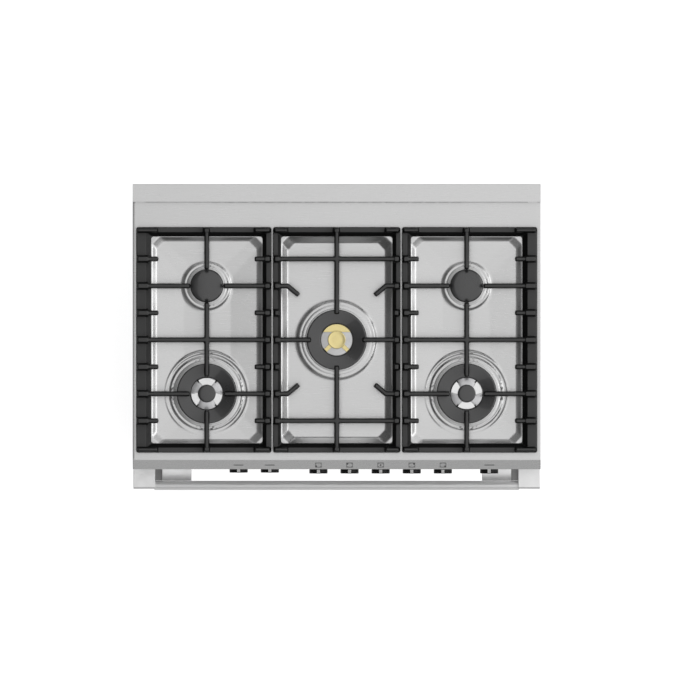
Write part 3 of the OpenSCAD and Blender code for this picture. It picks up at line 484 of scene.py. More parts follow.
def piece(name, shape, material, body, replaces=(), sharp=32, bevel=0.0, segments=2):
    """Makes the object, with one material and an edge rounding, riding on its body."""
    obj = new_object(name, new_mesh(name, shape, sharp))
    if bevel:
        add_bevel(obj, bevel, segments)
    paint(obj, material)
    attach(obj, body)
    if replaces:
        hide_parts(*replaces)
    return obj


def add_bevel(obj, width, segments=2):
    modifier = obj.modifiers.new("edge_rounding", "BEVEL")
    modifier.width = width * MM
    modifier.segments = segments
    modifier.limit_method = "ANGLE"
    modifier.angle_limit = math.radians(32)
    modifier.harden_normals = True


def keep(node, material):
    """A CAD node that is shown as it is, with its own finish and rounded edges."""
    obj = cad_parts[node]
    paint(obj, material)
    weld = obj.modifiers.new("weld", "WELD")
    weld.merge_threshold = WELD_DISTANCE
    add_bevel(obj, 0.35)


def bake_modifiers(obj):
    """Replaces the mesh with what its modifiers make of it."""
    bpy.context.view_layer.update()
    evaluated = obj.evaluated_get(bpy.context.evaluated_depsgraph_get())
    mesh = bpy.data.meshes.new_from_object(evaluated)
    obj.modifiers.clear()
    obj.data = mesh


BODY = "range_body"


# ---- worktop

SIDE_BASIN = (-402.5, -178.0, -228.0, 214.5)
MID_BASIN = (-108.5, 108.5, -223.0, 211.0)
# Each basin: floor outline, corner cut, width of its wall, curl of the wall, drop of the wall
BASINS = [
    (SIDE_BASIN, 17.0, 11.0, 1.15, 8.0),
    ((-SIDE_BASIN[1], -SIDE_BASIN[0], *SIDE_BASIN[2:]), 17.0, 11.0, 1.15, 8.0),
    (MID_BASIN, 16.0, 15.0, 1.1, 12.0),
]
CORNER_BLEND = 1.6
CORNER_EASE = 0.68
DISH_RUN = 60.0

# Height of the pressed dome over the basin floor at each radius from the burner's centre
SINGLE_DOME = [(0, 6.0), (42, 6.0), (43.5, 5.6), (45.6, 3.8), (48.5, 5.3), (50, 4.9), (56, 0.9), (61, 0.0)]
FRONT_DOME = [(0, 6.0), (70, 6.0), (74, 5.2), (76, 3.6), (80, 5.4), (85, 1.2), (87, 1.1), (92, 3.8),
              (98, 0.0)]
MID_DOME = [(0, 6.0), (75, 6.0), (77.5, 5.6), (79.5, 4.1), (82, 5.1), (84.5, 4.5), (91, 0.6), (95, 0.0)]
DOMES = ([(p, SINGLE_DOME, 31.0) for p in SINGLES] + [(p, FRONT_DOME, 56.0) for p in FRONTS]
         + [(MIDDLE, MID_DOME, 56.0)])


def soft_max(a, b, width):
    h = np.clip(0.5 + 0.5 * (a - b) / width, 0, 1)
    return a * h + b * (1 - h) + width * h * (1 - h)


def basin_distance(x, y, basin, cut):
    """Distance outside a basin's floor, whose corners are cut off."""
    x0, x1, y0, y1 = basin
    dx = np.abs(x - (x0 + x1) / 2) - (x1 - x0) / 2
    dy = np.abs(y - (y0 + y1) / 2) - (y1 - y0) / 2
    corner = CORNER_EASE * (dx + dy + cut) / math.sqrt(2)
    return soft_max(soft_max(dx, dy, 2.0), corner, CORNER_BLEND)


def smooth_profile(r, profile):
    """Interpolates a profile, easing into and out of its points."""
    radii, heights = np.array(profile, float).T
    i = np.clip(np.searchsorted(radii, r, side="right") - 1, 0, len(radii) - 2)
    t = np.clip((r - radii[i]) / (radii[i + 1] - radii[i]), 0, 1)
    ease = 0.55 * t + 0.45 * t * t * (3 - 2 * t)
    return heights[i] + (heights[i + 1] - heights[i]) * ease


def worktop_height(x, y):
    """Height of the pressed sheet relative to its flat rim."""
    height = np.zeros_like(x)
    for basin, cut, slope, curl, drop in BASINS:
        out = basin_distance(x, y, basin, cut)
        ease = np.clip(out / slope, 0, 1) ** curl
        dish = (BASIN_DEPTH - drop) * np.clip(-out / DISH_RUN, 0, 1)
        height = np.minimum(height, -drop * (1 - ease) - dish)
    for (cx, cy), profile, _ in DOMES:
        r = np.hypot(x - cx, y - cy)
        dome = -BASIN_DEPTH + smooth_profile(r, profile)
        height = np.where(r < profile[-1][0], np.maximum(height, dome), height)
    return height


def grid_lines(low, high, fine, coarse, dense):
    """Grid coordinates from low to high: fine steps inside the dense spans, coarse outside."""
    lines = [low]
    while lines[-1] < high:
        step = fine if any(a - coarse <= lines[-1] < b for a, b in dense) else coarse
        lines.append(lines[-1] + step)
    lines[-1] = high
    return np.array(lines)


def make_worktop():
    fine = 2.1
    side = (SIDE_BASIN[0] - 14, SIDE_BASIN[1] + 14)
    edge = 0.35
    xs = grid_lines(-HALF_W + edge, HALF_W - edge, fine, 6.0,
                    [side, (-side[1], -side[0]), (MID_BASIN[0] - 18, MID_BASIN[1] + 18)])
    ys = grid_lines(FRONT_Y - RIM_OVER + edge, SEAM_Y, fine, 6.0, [(-242, 232)])
    lip = [(edge, SKIRT_H), (edge, edge), (0.7 * edge, 0.3 * edge)]
    cols = ([(xs[0] - out, drop) for out, drop in lip] + [(x, 0.0) for x in xs]
            + [(xs[-1] + out, drop) for out, drop in lip[::-1]])
    rows = [(ys[0] - out, drop) for out, drop in lip] + [(y, 0.0) for y in ys] + [(SEAM_Y, SKIRT_H)]
    gx, gy = np.meshgrid([c[0] for c in cols], [r[0] for r in rows], indexing="ij")
    drop = np.maximum(*np.meshgrid([c[1] for c in cols], [r[1] for r in rows], indexing="ij"))
    gz = TOP_Z + worktop_height(gx, gy) - drop
    count = len(rows)
    shape = Shape()
    shape.points = list(zip(gx.ravel().tolist(), gy.ravel().tolist(), gz.ravel().tolist()))
    for i in range(len(cols) - 1):
        for j in range(count - 1):
            mx, my = (gx[i, j] + gx[i + 1, j]) / 2, (gy[i, j] + gy[i, j + 1]) / 2
            if any(math.hypot(mx - cx, my - cy) < bore for (cx, cy), _, bore in DOMES):
                continue
            a = i * count + j
            shape.faces.append([a, a + count, a + count + 1, a + 1])
    piece("pressed_worktop", shape, "top", BODY, ["cooktop"], sharp=50)


# ---- grates

GRATE_LO, GRATE_HI = box_mm("grate_left")
MID_GRATE_LO, MID_GRATE_HI = box_mm("grate_center")
GRATE_TOP = GRATE_HI[2]
GRATE_Y0, GRATE_Y1 = GRATE_LO[1], GRATE_HI[1]
GRATE_ENDS = ((GRATE_Y0, 1), (GRATE_Y1, -1))
GRATE_MID_Y = (GRATE_Y0 + GRATE_Y1) / 2
BAR_LOW = TOP_Z + 4
BAR_TOP = TOP_Z + 20
BAR_EDGE = 1.2
FINGER_LOW = BAR_TOP - 3
FINGER_TOP = GRATE_TOP - 1.6
FINGER_W = 11.8
TIP_R = 0.25 * FINGER_W
ROOT = 0.3
FINGER_PITCH = 60.4
FINGER_DRAFT = 2.3
END_BAR = 21.0
END_FLAT = 11.0
CORNER_R = 4.5
PAD_W = 16.4
PAD_INSET = 1.2
END_PAD = 13.0
OUTER_STUB = 50.0
INNER_STUB = 38.0
TIP_GAP = 37.0
MID_REACH = 57.0
# Widths of a frame's bars at its left and right, and of the slopes inside them
SIDE_FRAME = (33.5, 20.0, 12.0, 8.5)
MID_FRAME = (18.0, 18.0, 8.0, 8.0)


def row_y(k):
    return GRATE_MID_Y + k * FINGER_PITCH


def finger(shape, *points, blunt=False):
    """A finger along a polyline in plan, with its sides leaning in and a round end."""
    path = [np.array(p, float) for p in points]
    runs = [unit(q - p) for p, q in zip(path, path[1:])]
    left, right = [], []
    for p, before, after in zip(path, runs[:1] + runs, runs + runs[-1:]):
        mean = unit(before + after)
        normal = np.array([-mean[1], mean[0]]) / float(mean @ before)
        left.append(tuple(p + normal * FINGER_W / 2))
        right.append(tuple(p - normal * FINGER_W / 2))
    radii = [0.0] * (2 * len(path))
    if not blunt:
        radii[len(path) - 1] = radii[len(path)] = TIP_R
    outline = round_corners(right + left[::-1], radii, 5)
    drafted(shape, outline, FINGER_LOW, FINGER_TOP, FINGER_DRAFT, 1.0)


def pad(shape, x0, x1, y0, y1):
    """A raised pad over a frame bar."""
    drafted(shape, round_corners(block(x0, x1, y0, y1), 3.4, 4), BAR_TOP - 3, GRATE_TOP, 3.0, 0.8)


def row_pad(shape, x0, x1, k):
    """A pad at the root of row k's fingers."""
    pad(shape, x0, x1, row_y(k) - PAD_W / 2, row_y(k) + PAD_W / 2)


def bar_section(edge, s, width, flat):
    """Section of a frame bar, from its outer edge inwards: a flat top, a steep slope and a foot."""
    return [(edge, BAR_LOW), (edge, BAR_TOP - BAR_EDGE), (edge + s * BAR_EDGE, BAR_TOP),
            (edge + s * flat, BAR_TOP), (edge + s * width, BAR_TOP - 13), (edge + s * width, BAR_LOW)]


def grate_frame(shape, x0, x1, w0, w1, slope0, slope1):
    """Four cast bars with round outer corners, webs in the inner ones and four feet."""
    for x, w, slope, s in ((x0, w0, slope0, 1), (x1, w1, slope1, -1)):
        prism(shape, bar_section(x, s, w, w - slope), "y", GRATE_Y0 + CORNER_R, GRATE_Y1 - CORNER_R)
    for y, s in GRATE_ENDS:
        prism(shape, bar_section(y, s, END_BAR, END_FLAT), "x", x0 + CORNER_R, x1 - CORNER_R)
        for x in (x0 + CORNER_R, x1 - CORNER_R):
            lathe(shape, [(0, BAR_LOW), (CORNER_R, BAR_LOW), (CORNER_R, BAR_TOP - BAR_EDGE),
                          (CORNER_R - BAR_EDGE, BAR_TOP), (0, BAR_TOP)], (x, y + s * CORNER_R, 0), steps=32)
        for x in (x0 + 12, x1 - 12):
            lathe(shape, [(0, 0), (6, 0), (6, 5), (0, 5)], (x, y + s * 12, TOP_Z), steps=20)
    corner_webs(shape, x0 + w0 - 1, x1 - w1 + 1)


def corner_webs(shape, x0, x1):
    """Small webs that round the inside corners of the frame."""
    r = 9.0
    for x, s in ((x0, 1), (x1, -1)):
        for end, t in GRATE_ENDS:
            y = end + t * (END_BAR - 1)
            curve = [(x + s * (r - r * math.sin(a)), y + t * (r - r * math.cos(a)))
                     for a in np.linspace(0, math.pi / 2, 6)]
            prism(shape, [(x - s * 2, y - t * 2), (x + s * r, y - t * 2)] + curve + [(x - s * 2, y + t * r)],
                  "z", BAR_LOW, BAR_TOP - 12)


def cast(name, shape, node, body):
    """Fuses the overlapping bars into one casting with small fillets where they meet."""
    obj = piece(name, shape, "iron", body, [node], sharp=180)
    fuse = obj.modifiers.new("fuse", "REMESH")
    fuse.mode = "VOXEL"
    fuse.voxel_size = 1.5 * MM
    fuse.use_smooth_shade = True
    ease = obj.modifiers.new("ease", "SMOOTH")
    ease.factor = 0.35
    ease.iterations = 1
    bake_modifiers(obj)


def side_grate(side):
    """The left grate, or its mirror image on the right."""
    shape = Shape()
    x0, x1, bx = GRATE_LO[0], GRATE_HI[0], -BURNER_X
    grate_frame(shape, x0, x1, *SIDE_FRAME)
    for k in (-3, -1, 1, 3):
        finger(shape, (x0 + ROOT, row_y(k)), (x0 + OUTER_STUB, row_y(k)))
        finger(shape, (x1 - ROOT, row_y(k)), (x1 - INNER_STUB, row_y(k)))
    finger(shape, (x0 + ROOT, row_y(0)), (x1 - ROOT, row_y(0)), blunt=True)
    for k, burner_y, (y, s) in zip((-2, 2), (FRONT_BURNER_Y, REAR_Y), GRATE_ENDS):
        finger(shape, (x0 + ROOT, row_y(k)), (bx - TIP_GAP, row_y(k)))
        finger(shape, (x1 - ROOT, row_y(k)), (bx + TIP_GAP, row_y(k)))
        finger(shape, (bx, y + s * ROOT), (bx, burner_y - s * TIP_GAP))
        finger(shape, (bx, row_y(0)), (bx, burner_y + s * TIP_GAP))
        pad(shape, bx - PAD_W / 2, bx + PAD_W / 2, y + s * PAD_INSET, y + s * 14)
        pad(shape, x0 + PAD_INSET, x0 + 50, y + s * PAD_INSET, y + s * END_PAD)
        pad(shape, x1 - 39, x1 - PAD_INSET, y + s * PAD_INSET, y + s * END_PAD)
    for k in range(-3, 4):
        row_pad(shape, x0 + PAD_INSET, x0 + 29, k)
        row_pad(shape, x1 - PAD_INSET, x1 - 17, k)
    if side == "right":
        shape.points = [(-x, y, z) for x, y, z in shape.points]
    cast(f"{side}_grate_casting", shape, f"grate_{side}", f"{side}_grate")


def make_grates():
    side_grate("left")
    side_grate("right")
    shape = Shape()
    x0, x1 = MID_GRATE_LO[0], MID_GRATE_HI[0]
    grate_frame(shape, x0, x1, *MID_FRAME)
    bend_x, bend, run = 110.0, math.radians(40), 33.0
    for k in (-3, 3):
        finger(shape, (x0 + ROOT, row_y(k)), (x1 - ROOT, row_y(k)), blunt=True)
    for s in (-1, 1):
        finger(shape, (s * (x1 - ROOT), row_y(0)), (s * MID_REACH, row_y(0)))
        for k, t in ((-2, 1), (2, -1)):
            tip = (s * (bend_x - run * math.cos(bend)), row_y(k) + t * run * math.sin(bend))
            finger(shape, (s * (x1 - ROOT), row_y(k)), (s * bend_x, row_y(k)), tip)
        for k in range(-3, 4):
            row_pad(shape, s * (x1 - PAD_INSET), s * (x1 - 16), k)
    for y, s in GRATE_ENDS:
        finger(shape, (0, y + s * ROOT), (0, MID_Y - s * MID_REACH))
        pad(shape, -PAD_W / 2, PAD_W / 2, y + s * PAD_INSET, y + s * 14)
        for t in (-1, 1):
            pad(shape, t * (x1 - PAD_INSET), t * (x1 - 35), y + s * PAD_INSET, y + s * END_PAD)
    cast("center_grate_casting", shape, "grate_center", "center_grate")


# ---- burners

# Profiles of (radius, height over HEAD_Z)
SINGLE_CROWN = [(12, 0), (31.5, 0), (33, 1), (33, 4), (31, 4.4), (31, 7.4), (32.5, 8), (12, 8), (12, 0)]
# The next profile is a thin black ring under a single cap's rim: painted shade in the gap between cap and
# crown.
SINGLE_SHADE_RING = [(30, 6.4), (37, 6.4), (37.2, 6.9), (33, 7.6), (30, 7.6), (30, 6.4)]
SINGLE_CAP = [(0, 8), (33, 8), (35.6, 8.3), (36, 8.9), (36, 9.4), (35.4, 10.0), (33.6, 10.6), (30, 11.6),
              (26, 12.2), (20, 12.9), (13, 13.5), (6, 13.9), (0, 14.0)]
RING_CROWN = [(38, 0), (62, 0), (63.4, 1), (63.4, 3.6), (61, 4.2), (61, 7.4), (62, 8), (38, 8), (38, 0)]
# The next profile is a thin black ring under a ring cap's rim: painted shade in the gap between cap and
# crown.
RING_SHADE_RING = [(60, 6.4), (67.2, 6.4), (67.4, 6.9), (63, 7.6), (60, 7.6), (60, 6.4)]
RING_CAP = [(36, 8), (65, 8), (66, 8.8), (66, 13.4), (65.6, 14.6), (64.8, 15.0), (63.6, 14.8), (50, 11.6),
            (39, 9.4), (37.6, 9.0), (36.4, 8.4), (36, 8)]
INNER_HEAD = [(0, 0), (34.8, 0), (35.7, 1.5), (35.6, 8.6), (34.9, 9.3), (0, 9.6)]
INNER_CAP = [(0, 9.6), (14.6, 9.6), (15, 13.4), (19.4, 13.6), (20, 14.2), (20, 15.0), (19.2, 15.7),
             (15, 16.4), (9, 16.8), (0, 17)]
BRASS_CAP = [(0, 9), (14.6, 9), (15, 13.2), (19.5, 13.4), (19.9, 14.0), (19.9, 15.6), (19.3, 16.3),
             (18.4, 16.5), (17.6, 16.1), (9, 16.4), (0, 16.6)]
CENTER_CROWN = [(0, 0), (34.5, 0), (35.6, 1.5), (35.5, 8.4), (34.8, 9.2), (26, 10.0), (15, 10.5), (0, 10.5)]


def make_burners():
    caps, rings, heads, shade_rings = Shape(), Shape(), Shape(), Shape()
    for x, y in SINGLES:
        lathe(heads, SINGLE_CROWN, (x, y, HEAD_Z))
        crown_teeth(heads, x, y, 33.0, 30)
        skirt_ring(heads, x, y, 30.0, 41.0)
        lathe(shade_rings, SINGLE_SHADE_RING, (x, y, HEAD_Z))
        lathe(caps, SINGLE_CAP, (x, y, HEAD_Z))
    for x, y in FRONTS + [MIDDLE]:
        lathe(heads, RING_CROWN, (x, y, HEAD_Z))
        crown_teeth(heads, x, y, 62.5, 48)
        skirt_ring(heads, x, y, 59.0, 71.0)
        lathe(shade_rings, RING_SHADE_RING, (x, y, HEAD_Z))
        lathe(rings, RING_CAP, (x, y, HEAD_Z))
    for x, y in FRONTS:
        lathe(heads, INNER_HEAD, (x, y, HEAD_Z))
        lathe(caps, INNER_CAP, (x, y, HEAD_Z))
    piece("burner_crowns", heads, "head", BODY, ["burner_heads"], sharp=40)
    # Black rings under the caps' rims: painted shade in the gap between each cap and its crown.
    piece("cap_shade_rings", shade_rings, "knob", BODY, sharp=40)
    piece("black_caps", caps, "enamel", BODY, ["burner_caps"], sharp=40)
    piece("black_ring_caps", rings, "enamel", BODY, ["dual_ring_caps"], sharp=40)


def skirt_ring(shape, x, y, inner, outer):
    """The bright flange of a burner crown that lies on the worktop."""
    lathe(shape, [(inner, 0), (outer - 0.4, 0), (outer, 0.4), (outer - 0.5, 1.2), (outer - 3, 1.9),
                  (inner, 2.2), (inner, 0)], (x, y, BASIN_Z + DOME_H))


def crown_teeth(shape, x, y, radius, count):
    """Teeth between the gas ports of a burner crown."""
    for i in range(count):
        sector(shape, (x, y), radius - 4, radius, 360 * (i + 0.22) / count, 360 * (i + 0.78) / count,
               HEAD_Z + 3.5, HEAD_Z + 7.8, 2)


# Sectors of the right burner's inner crown, in degrees at its rim and at its cap. The left one's are
# turned by 180.
BRIGHT_SECTORS = [((235, 304), (246, 290)), ((129, 174), (145, 190)), ((4, 51), (-14, 33))]
GREY_PETALS = [((53, 127), (35, 143)), ((176, 233), (192, 244)), ((306, 362), (292, 344))]
NOTCHES = (52, 128, 233, 305)
CROWN_R0, CROWN_R1 = 14.0, 35.4


def make_flame_rings():
    """The inner crowns of the two front burners: bright raised sectors between grey petals."""
    bright, dull, notch_shade = Shape(), Shape(), Shape()
    for x, y in FRONTS:
        turn = 0 if x > 0 else 180
        for rim, root in BRIGHT_SECTORS:
            petal(bright, x, y, turn, rim, root, [(14, 12.2), (34.6, 12.2), (35.2, 11.6), (35.3, 9.2)], 0.0)
        for rim, root in GREY_PETALS:
            petal(dull, x, y, turn, rim, root,
                  [(14, 13.0), (20, 12.7), (26, 12.0), (31, 11.1), (35.2, 9.9), (35.4, 8.8)], 1.2)
        # Black blocks in four of the crown's notches: painted shade in the gaps between sectors and petals.
        for a in NOTCHES:
            sector(notch_shade, (x, y), 31.5, 35.8, a + turn - 2.6, a + turn + 2.6,
                   HEAD_Z + 8.8, HEAD_Z + 12.4, 3)
    piece("bright_flame_sectors", bright, "bright_petal", BODY, sharp=40)
    piece("grey_flame_petals", dull, "petal", BODY, sharp=50)
    piece("flame_ring_notch_shade", notch_shade, "knob", BODY, bevel=0.2)


def petal(shape, x, y, turn, rim, root, profile, sag):
    """A sector of a crown between its root and rim angles, with its sides sagging by sag."""
    steps = 12
    rings = []
    for i in range(steps + 1):
        top = []
        for r, z in profile:
            t = (r - CROWN_R0) / (CROWN_R1 - CROWN_R0)
            a0, a1 = (root[k] + (rim[k] - root[k]) * t + turn for k in (0, 1))
            a = math.radians(a0 + (a1 - a0) * i / steps)
            drop = sag * abs(2 * i / steps - 1) ** 4
            top.append((x + r * math.cos(a), y + r * math.sin(a), HEAD_Z + z - drop))
        rings.append(top + [(px, py, HEAD_Z + 8.6) for px, py, _ in top[::-1]])
    loft(shape, rings, strip_ends=True)


SPOKES = (223, 316)
BRASS_R = 35.2
BRASS_CHORD = 17.5
BRASS_BORE = 18.0


def make_brass():
    x, y = MIDDLE
    ring, cap, crown = Shape(), Shape(), Shape()
    start, inner = (math.degrees(math.asin(BRASS_CHORD / r)) for r in (BRASS_R, BRASS_BORE))
    crescent = arc(x, y, BRASS_R, start, 180 - start, 24) + arc(x, y, BRASS_BORE, 180 - inner, inner, 8)
    for outline in [crescent] + [spoke(x, y, turn, 15, 34.8, 4.6) for turn in SPOKES]:
        prism(ring, outline, "z", HEAD_Z + 8, HEAD_Z + 12)
    lathe(cap, BRASS_CAP, (x, y, HEAD_Z))
    lathe(crown, CENTER_CROWN, (x, y, HEAD_Z))
    piece("brass_flame_ring", ring, "brass", BODY, ["center_flame_ring"], bevel=0.7)
    piece("brass_cap", cap, "brass", BODY, ["center_cap"], sharp=40)
    piece("center_inner_crown", crown, "head", BODY, sharp=40)


# ---- trim, control panel and marks

def make_trim():
    low, high = box_mm("back_trim")
    shape = Shape()
    outline = round_corners(block(low[1], high[1], low[2], high[2]), [0, 0, 1.0, 0.6], 4)
    prism(shape, outline, "x", low[0], high[0])
    piece("back_trim_cover", shape, "trim", BODY, ["back_trim"], bevel=0.2)
    # The vent slots are thin black patches on the trim's front face: painted shade for the openings.
    slot_shades = Shape()
    pitch, half_w, half_h, vent_z = 30, 11, 4, high[2] - 12
    for i in range(-9, 10):
        slot = block(i * pitch - half_w, i * pitch + half_w, vent_z - half_h, vent_z + half_h)
        prism(slot_shades, round_corners(slot, 3.5, 5), "y", low[1] - 0.3, low[1] + 0.4)
    piece("trim_vent_slot_shade", slot_shades, "frit_and_slot_shade", BODY)


BROW_RUN = 21.7
BROW_Y = PANEL_LO[1]
BROW_TOP_Y = BROW_Y + BROW_RUN - RIM_OVER
BROW_TOP_Z = PANEL_HI[2]
BROW_LOW_Z = PANEL_HI[2] - BROW_RUN
FASCIA_Y = BROW_Y + 13.7
PANEL_LOW_Z = PANEL_LO[2]
PANEL_BACK_Y = PANEL_HI[1]
PANEL_SHEET = 2.0


def make_panel():
    shape = Shape()
    side = [(BROW_TOP_Y, BROW_TOP_Z), (BROW_Y, BROW_LOW_Z), (BROW_Y, BROW_LOW_Z - 9),
            (FASCIA_Y, BROW_LOW_Z - 22), (FASCIA_Y, PANEL_LOW_Z), (PANEL_BACK_Y - 0.5, PANEL_LOW_Z)]
    outer = round_corners(side, [0, 2.5, 2.5, 5, 3, 0], 5)
    inner = [(u + (PANEL_SHEET if k < len(outer) - 1 else 0), v) for k, (u, v) in enumerate(outer)]
    inner = [(u, max(v, PANEL_LOW_Z + PANEL_SHEET) if u > FASCIA_Y + 1 else v) for u, v in inner]
    inner = [(u, min(v, BROW_TOP_Z - PANEL_SHEET)) for u, v in inner]
    prism(shape, outer + inner[::-1], "x", PANEL_LO[0] + PANEL_SHEET, PANEL_HI[0] - PANEL_SHEET)
    obj = piece("control_panel_cover", shape, "panel", BODY, ["control_panel"], sharp=25)
    for node in KNOB_NODES:
        drill(obj, knob_centre(node), 5.2)
    obj.data.set_sharp_from_angle(angle=math.radians(25))
    # Large flat faces keep their own normal where they meet small rounded ones.
    even = obj.modifiers.new("even_normals", "WEIGHTED_NORMAL")
    even.weight = 100
    even.keep_sharp = True
    ends = Shape()
    end = outer + [(PANEL_BACK_Y, PANEL_LOW_Z), (PANEL_BACK_Y, TOP_LO[2] - 1), (BROW_TOP_Y, TOP_LO[2] - 1)]
    prism(ends, end, "x", PANEL_HI[0] - PANEL_SHEET, PANEL_HI[0])
    ends.mirrored_x()
    piece("control_panel_ends", ends, "panel", BODY, bevel=0.4)


KNOB_NODES = (["function_knob", "temperature_knob"] + [f"burner_knob_{n}" for n in range(1, 6)]
              + ["timer_knob"])


def knob_centre(node):
    low, high = box_mm(node)
    return (low + high) / 2


def drill(obj, centre, radius):
    """Cuts a round hole along Y through the fascia."""
    cutter = Shape()
    lathe(cutter, [(0, -30), (radius, -30), (radius, 30), (0, 30)],
          (centre[0], FASCIA_Y, centre[2]), "y", 32)
    tool = new_object("cutter", new_mesh("cutter", cutter, 60))
    cut = obj.modifiers.new("cut", "BOOLEAN")
    cut.operation = "DIFFERENCE"
    cut.solver = "EXACT"
    cut.object = tool
    bake_modifiers(obj)
    bpy.data.objects.remove(tool)


def on_brow(x, run, lift):
    """A point over the brow, run millimetres in front of its top edge, lifted along its normal."""
    fall = BROW_RUN / (BROW_RUN - RIM_OVER)
    normal = np.array([0, -fall, 1]) / math.hypot(fall, 1)
    return tuple(np.array([x, BROW_TOP_Y - run, BROW_TOP_Z - run * fall]) + normal * lift)


def brow_patch(shape, outline):
    """A thin printed patch on the brow. The outline is in x and in run down the brow, in plan."""
    if signed_area(outline) > 0:
        outline = outline[::-1]
    loft(shape, [[on_brow(x, run, lift) for x, run in outline] for lift in (-0.3, 0.25)])


ICON_W, ICON_H, ICON_LINE, ICON_RUN = 14.5, 10.5, 1.2, 11.0
TICKS, TICK_R = 9, 24.5
ICON_DOTS = [(-4.6, 2.6), (-4.6, -2.6), (0, 0), (4.6, -2.6), (4.6, 2.6)]


def burner_icon(shape, x, chosen):
    """A hob plan: a thin frame with five places, of which one is a full dot."""
    w, h, run = ICON_W / 2, ICON_H / 2, ICON_RUN
    for s in (-1, 1):
        brow_patch(shape, block(x - w, x + w, run + s * h, run + s * (h - ICON_LINE)))
        brow_patch(shape, block(x + s * w, x + s * (w - ICON_LINE), run - h, run + h))
    for i, (dx, dy) in enumerate(ICON_DOTS):
        brow_patch(shape, arc(x + dx, run + dy, 1.9 if i == chosen else 0.7, 0, 360, 14)[:-1])


def make_marks():
    marks, ticks = Shape(), Shape()
    for i, node in enumerate(KNOB_NODES):
        cx, _, cz = knob_centre(node)
        is_burner = node.startswith("burner")
        if is_burner:
            burner_icon(marks, cx, i - 2)
        else:
            brow_patch(marks, block(cx - 11, cx + 11, ICON_RUN - 0.8, ICON_RUN + 0.8))
        for k in range(TICKS):
            turn = 90 + k * 270 / (TICKS - 1) * (1 if is_burner else -1)
            prism(ticks, spoke(cx, cz, turn, TICK_R, TICK_R + (2.4 if k == 0 else 1.4), 0.5),
                  "y", FASCIA_Y - 0.12, FASCIA_Y + 0.3)
    piece("brow_marks", marks, "print", BODY)
    piece("dial_ticks", ticks, "print", BODY)


def make_knobs():
    for node in KNOB_NODES:
        low, high = box_mm(node)
        cx, _, cz = knob_centre(node)
        depth = high[1] - low[1]
        radius = (high[0] - low[0]) / 2
        body = node.replace("burner_knob", "burner_dial").replace("_knob", "_dial")
        shape = Shape()
        profile = [(4.3, 0.3)] + [(radius - inset, d) for inset, d in (
            (3, 0.0), (1.2, 0.4), (0.6, 1.6), (0.6, depth * 0.38), (1.3, depth * 0.42), (1.3, depth * 0.46),
            (0, depth * 0.5), (0, depth - 1.2), (0.4, depth - 0.4), (1.2, depth - 0.1), (4, depth),
            (5, depth - 0.5), (6.5, depth - 0.7))] + [(0, depth - 0.7)]
        lathe(shape, profile, (cx, high[1], cz), "y", direction=-1)
        piece(f"{node}_body", shape, "knob", body, [node], sharp=35)
        mark = Shape()
        top = cz + radius
        rim_mark = block(cx - 3.4, cx + 3.4, low[1] + 1.6, high[1] - depth * 0.5 - 0.2)
        prism(mark, round_corners(rim_mark, 0.8, 3), "z", top - 3, top)
        prism(mark, block(cx - 1.2, cx + 1.2, cz + 6, top - 4.6), "y", low[1] + 0.25, low[1] + 2)
        piece(f"{node}_pointer", mark, "mark", body, bevel=0.2)
        bezel = Shape()
        lathe(bezel, [(8, -0.5), (13.5, -0.5), (14, 0.2), (13.4, 1.0), (11, 1.2), (8, 1.2), (8, -0.5)],
              (cx, FASCIA_Y, cz), "y", 64, direction=-1)
        piece(f"{node}_bezel", bezel, "plated", BODY, sharp=40)


# ---- door and handle

BLOCK_X = 408.0
FOOT_X = (326.5, 392.5)
BLOCK_NOSE_R = 5.0
TUBE_R = (TUBE_HI[2] - TUBE_LO[2]) / 2 - 0.05
TUBE_Z = (TUBE_HI[2] + TUBE_LO[2]) / 2
TUBE_Y = (TUBE_HI[1] + TUBE_LO[1]) / 2
DOOR_Y = DOOR_LO[1]


def make_handle():
    tube = Shape()
    end = BLOCK_X + 2
    lathe(tube, [(0, -end), (TUBE_R - 1, -end), (TUBE_R, -end + 1), (TUBE_R, end - 1), (TUBE_R - 1, end),
                 (0, end)], (0, TUBE_Y, TUBE_Z), "x", 64)
    piece("handle_bar", tube, "tube", "door", ["handle_tube"], sharp=40)
    low_z = BRACKET_LO[2]
    half = (BRACKET_HI[2] - low_z) / 2
    behind_tube = TUBE_Y + TUBE_R + 0.4
    cast_ends, webs = Shape(), Shape()
    nose = block(BRACKET_LO[1], DOOR_Y, TUBE_Z - half, TUBE_Z + half)
    prism(cast_ends, round_corners(nose, [BLOCK_NOSE_R, 0, 0, BLOCK_NOSE_R], 8), "x", BLOCK_X, HALF_W)
    bullnose = [(DOOR_Y - (DOOR_Y - behind_tube) * math.sin(t), TUBE_Z + (half - 0.4) * math.cos(t))
                for t in np.linspace(0, math.pi, 25)]
    prism(cast_ends, bullnose, "x", FOOT_X[0], FOOT_X[1])
    prism(webs, block(behind_tube, DOOR_Y, low_z, low_z + 9), "x", FOOT_X[1] - 1, BLOCK_X + 1)
    cast_ends.mirrored_x()
    webs.mirrored_x()
    # The webs' dark finish is painted shade in the recess beside each end casting.
    piece("handle_bracket_webs", webs, "web", "door", bevel=0.5)
    piece("handle_end_castings", cast_ends, "cast_handle", "door", ["handle_brackets"],
          bevel=1.0, segments=3, sharp=35)


WINDOW = (300.0, 330.0, 590.0)


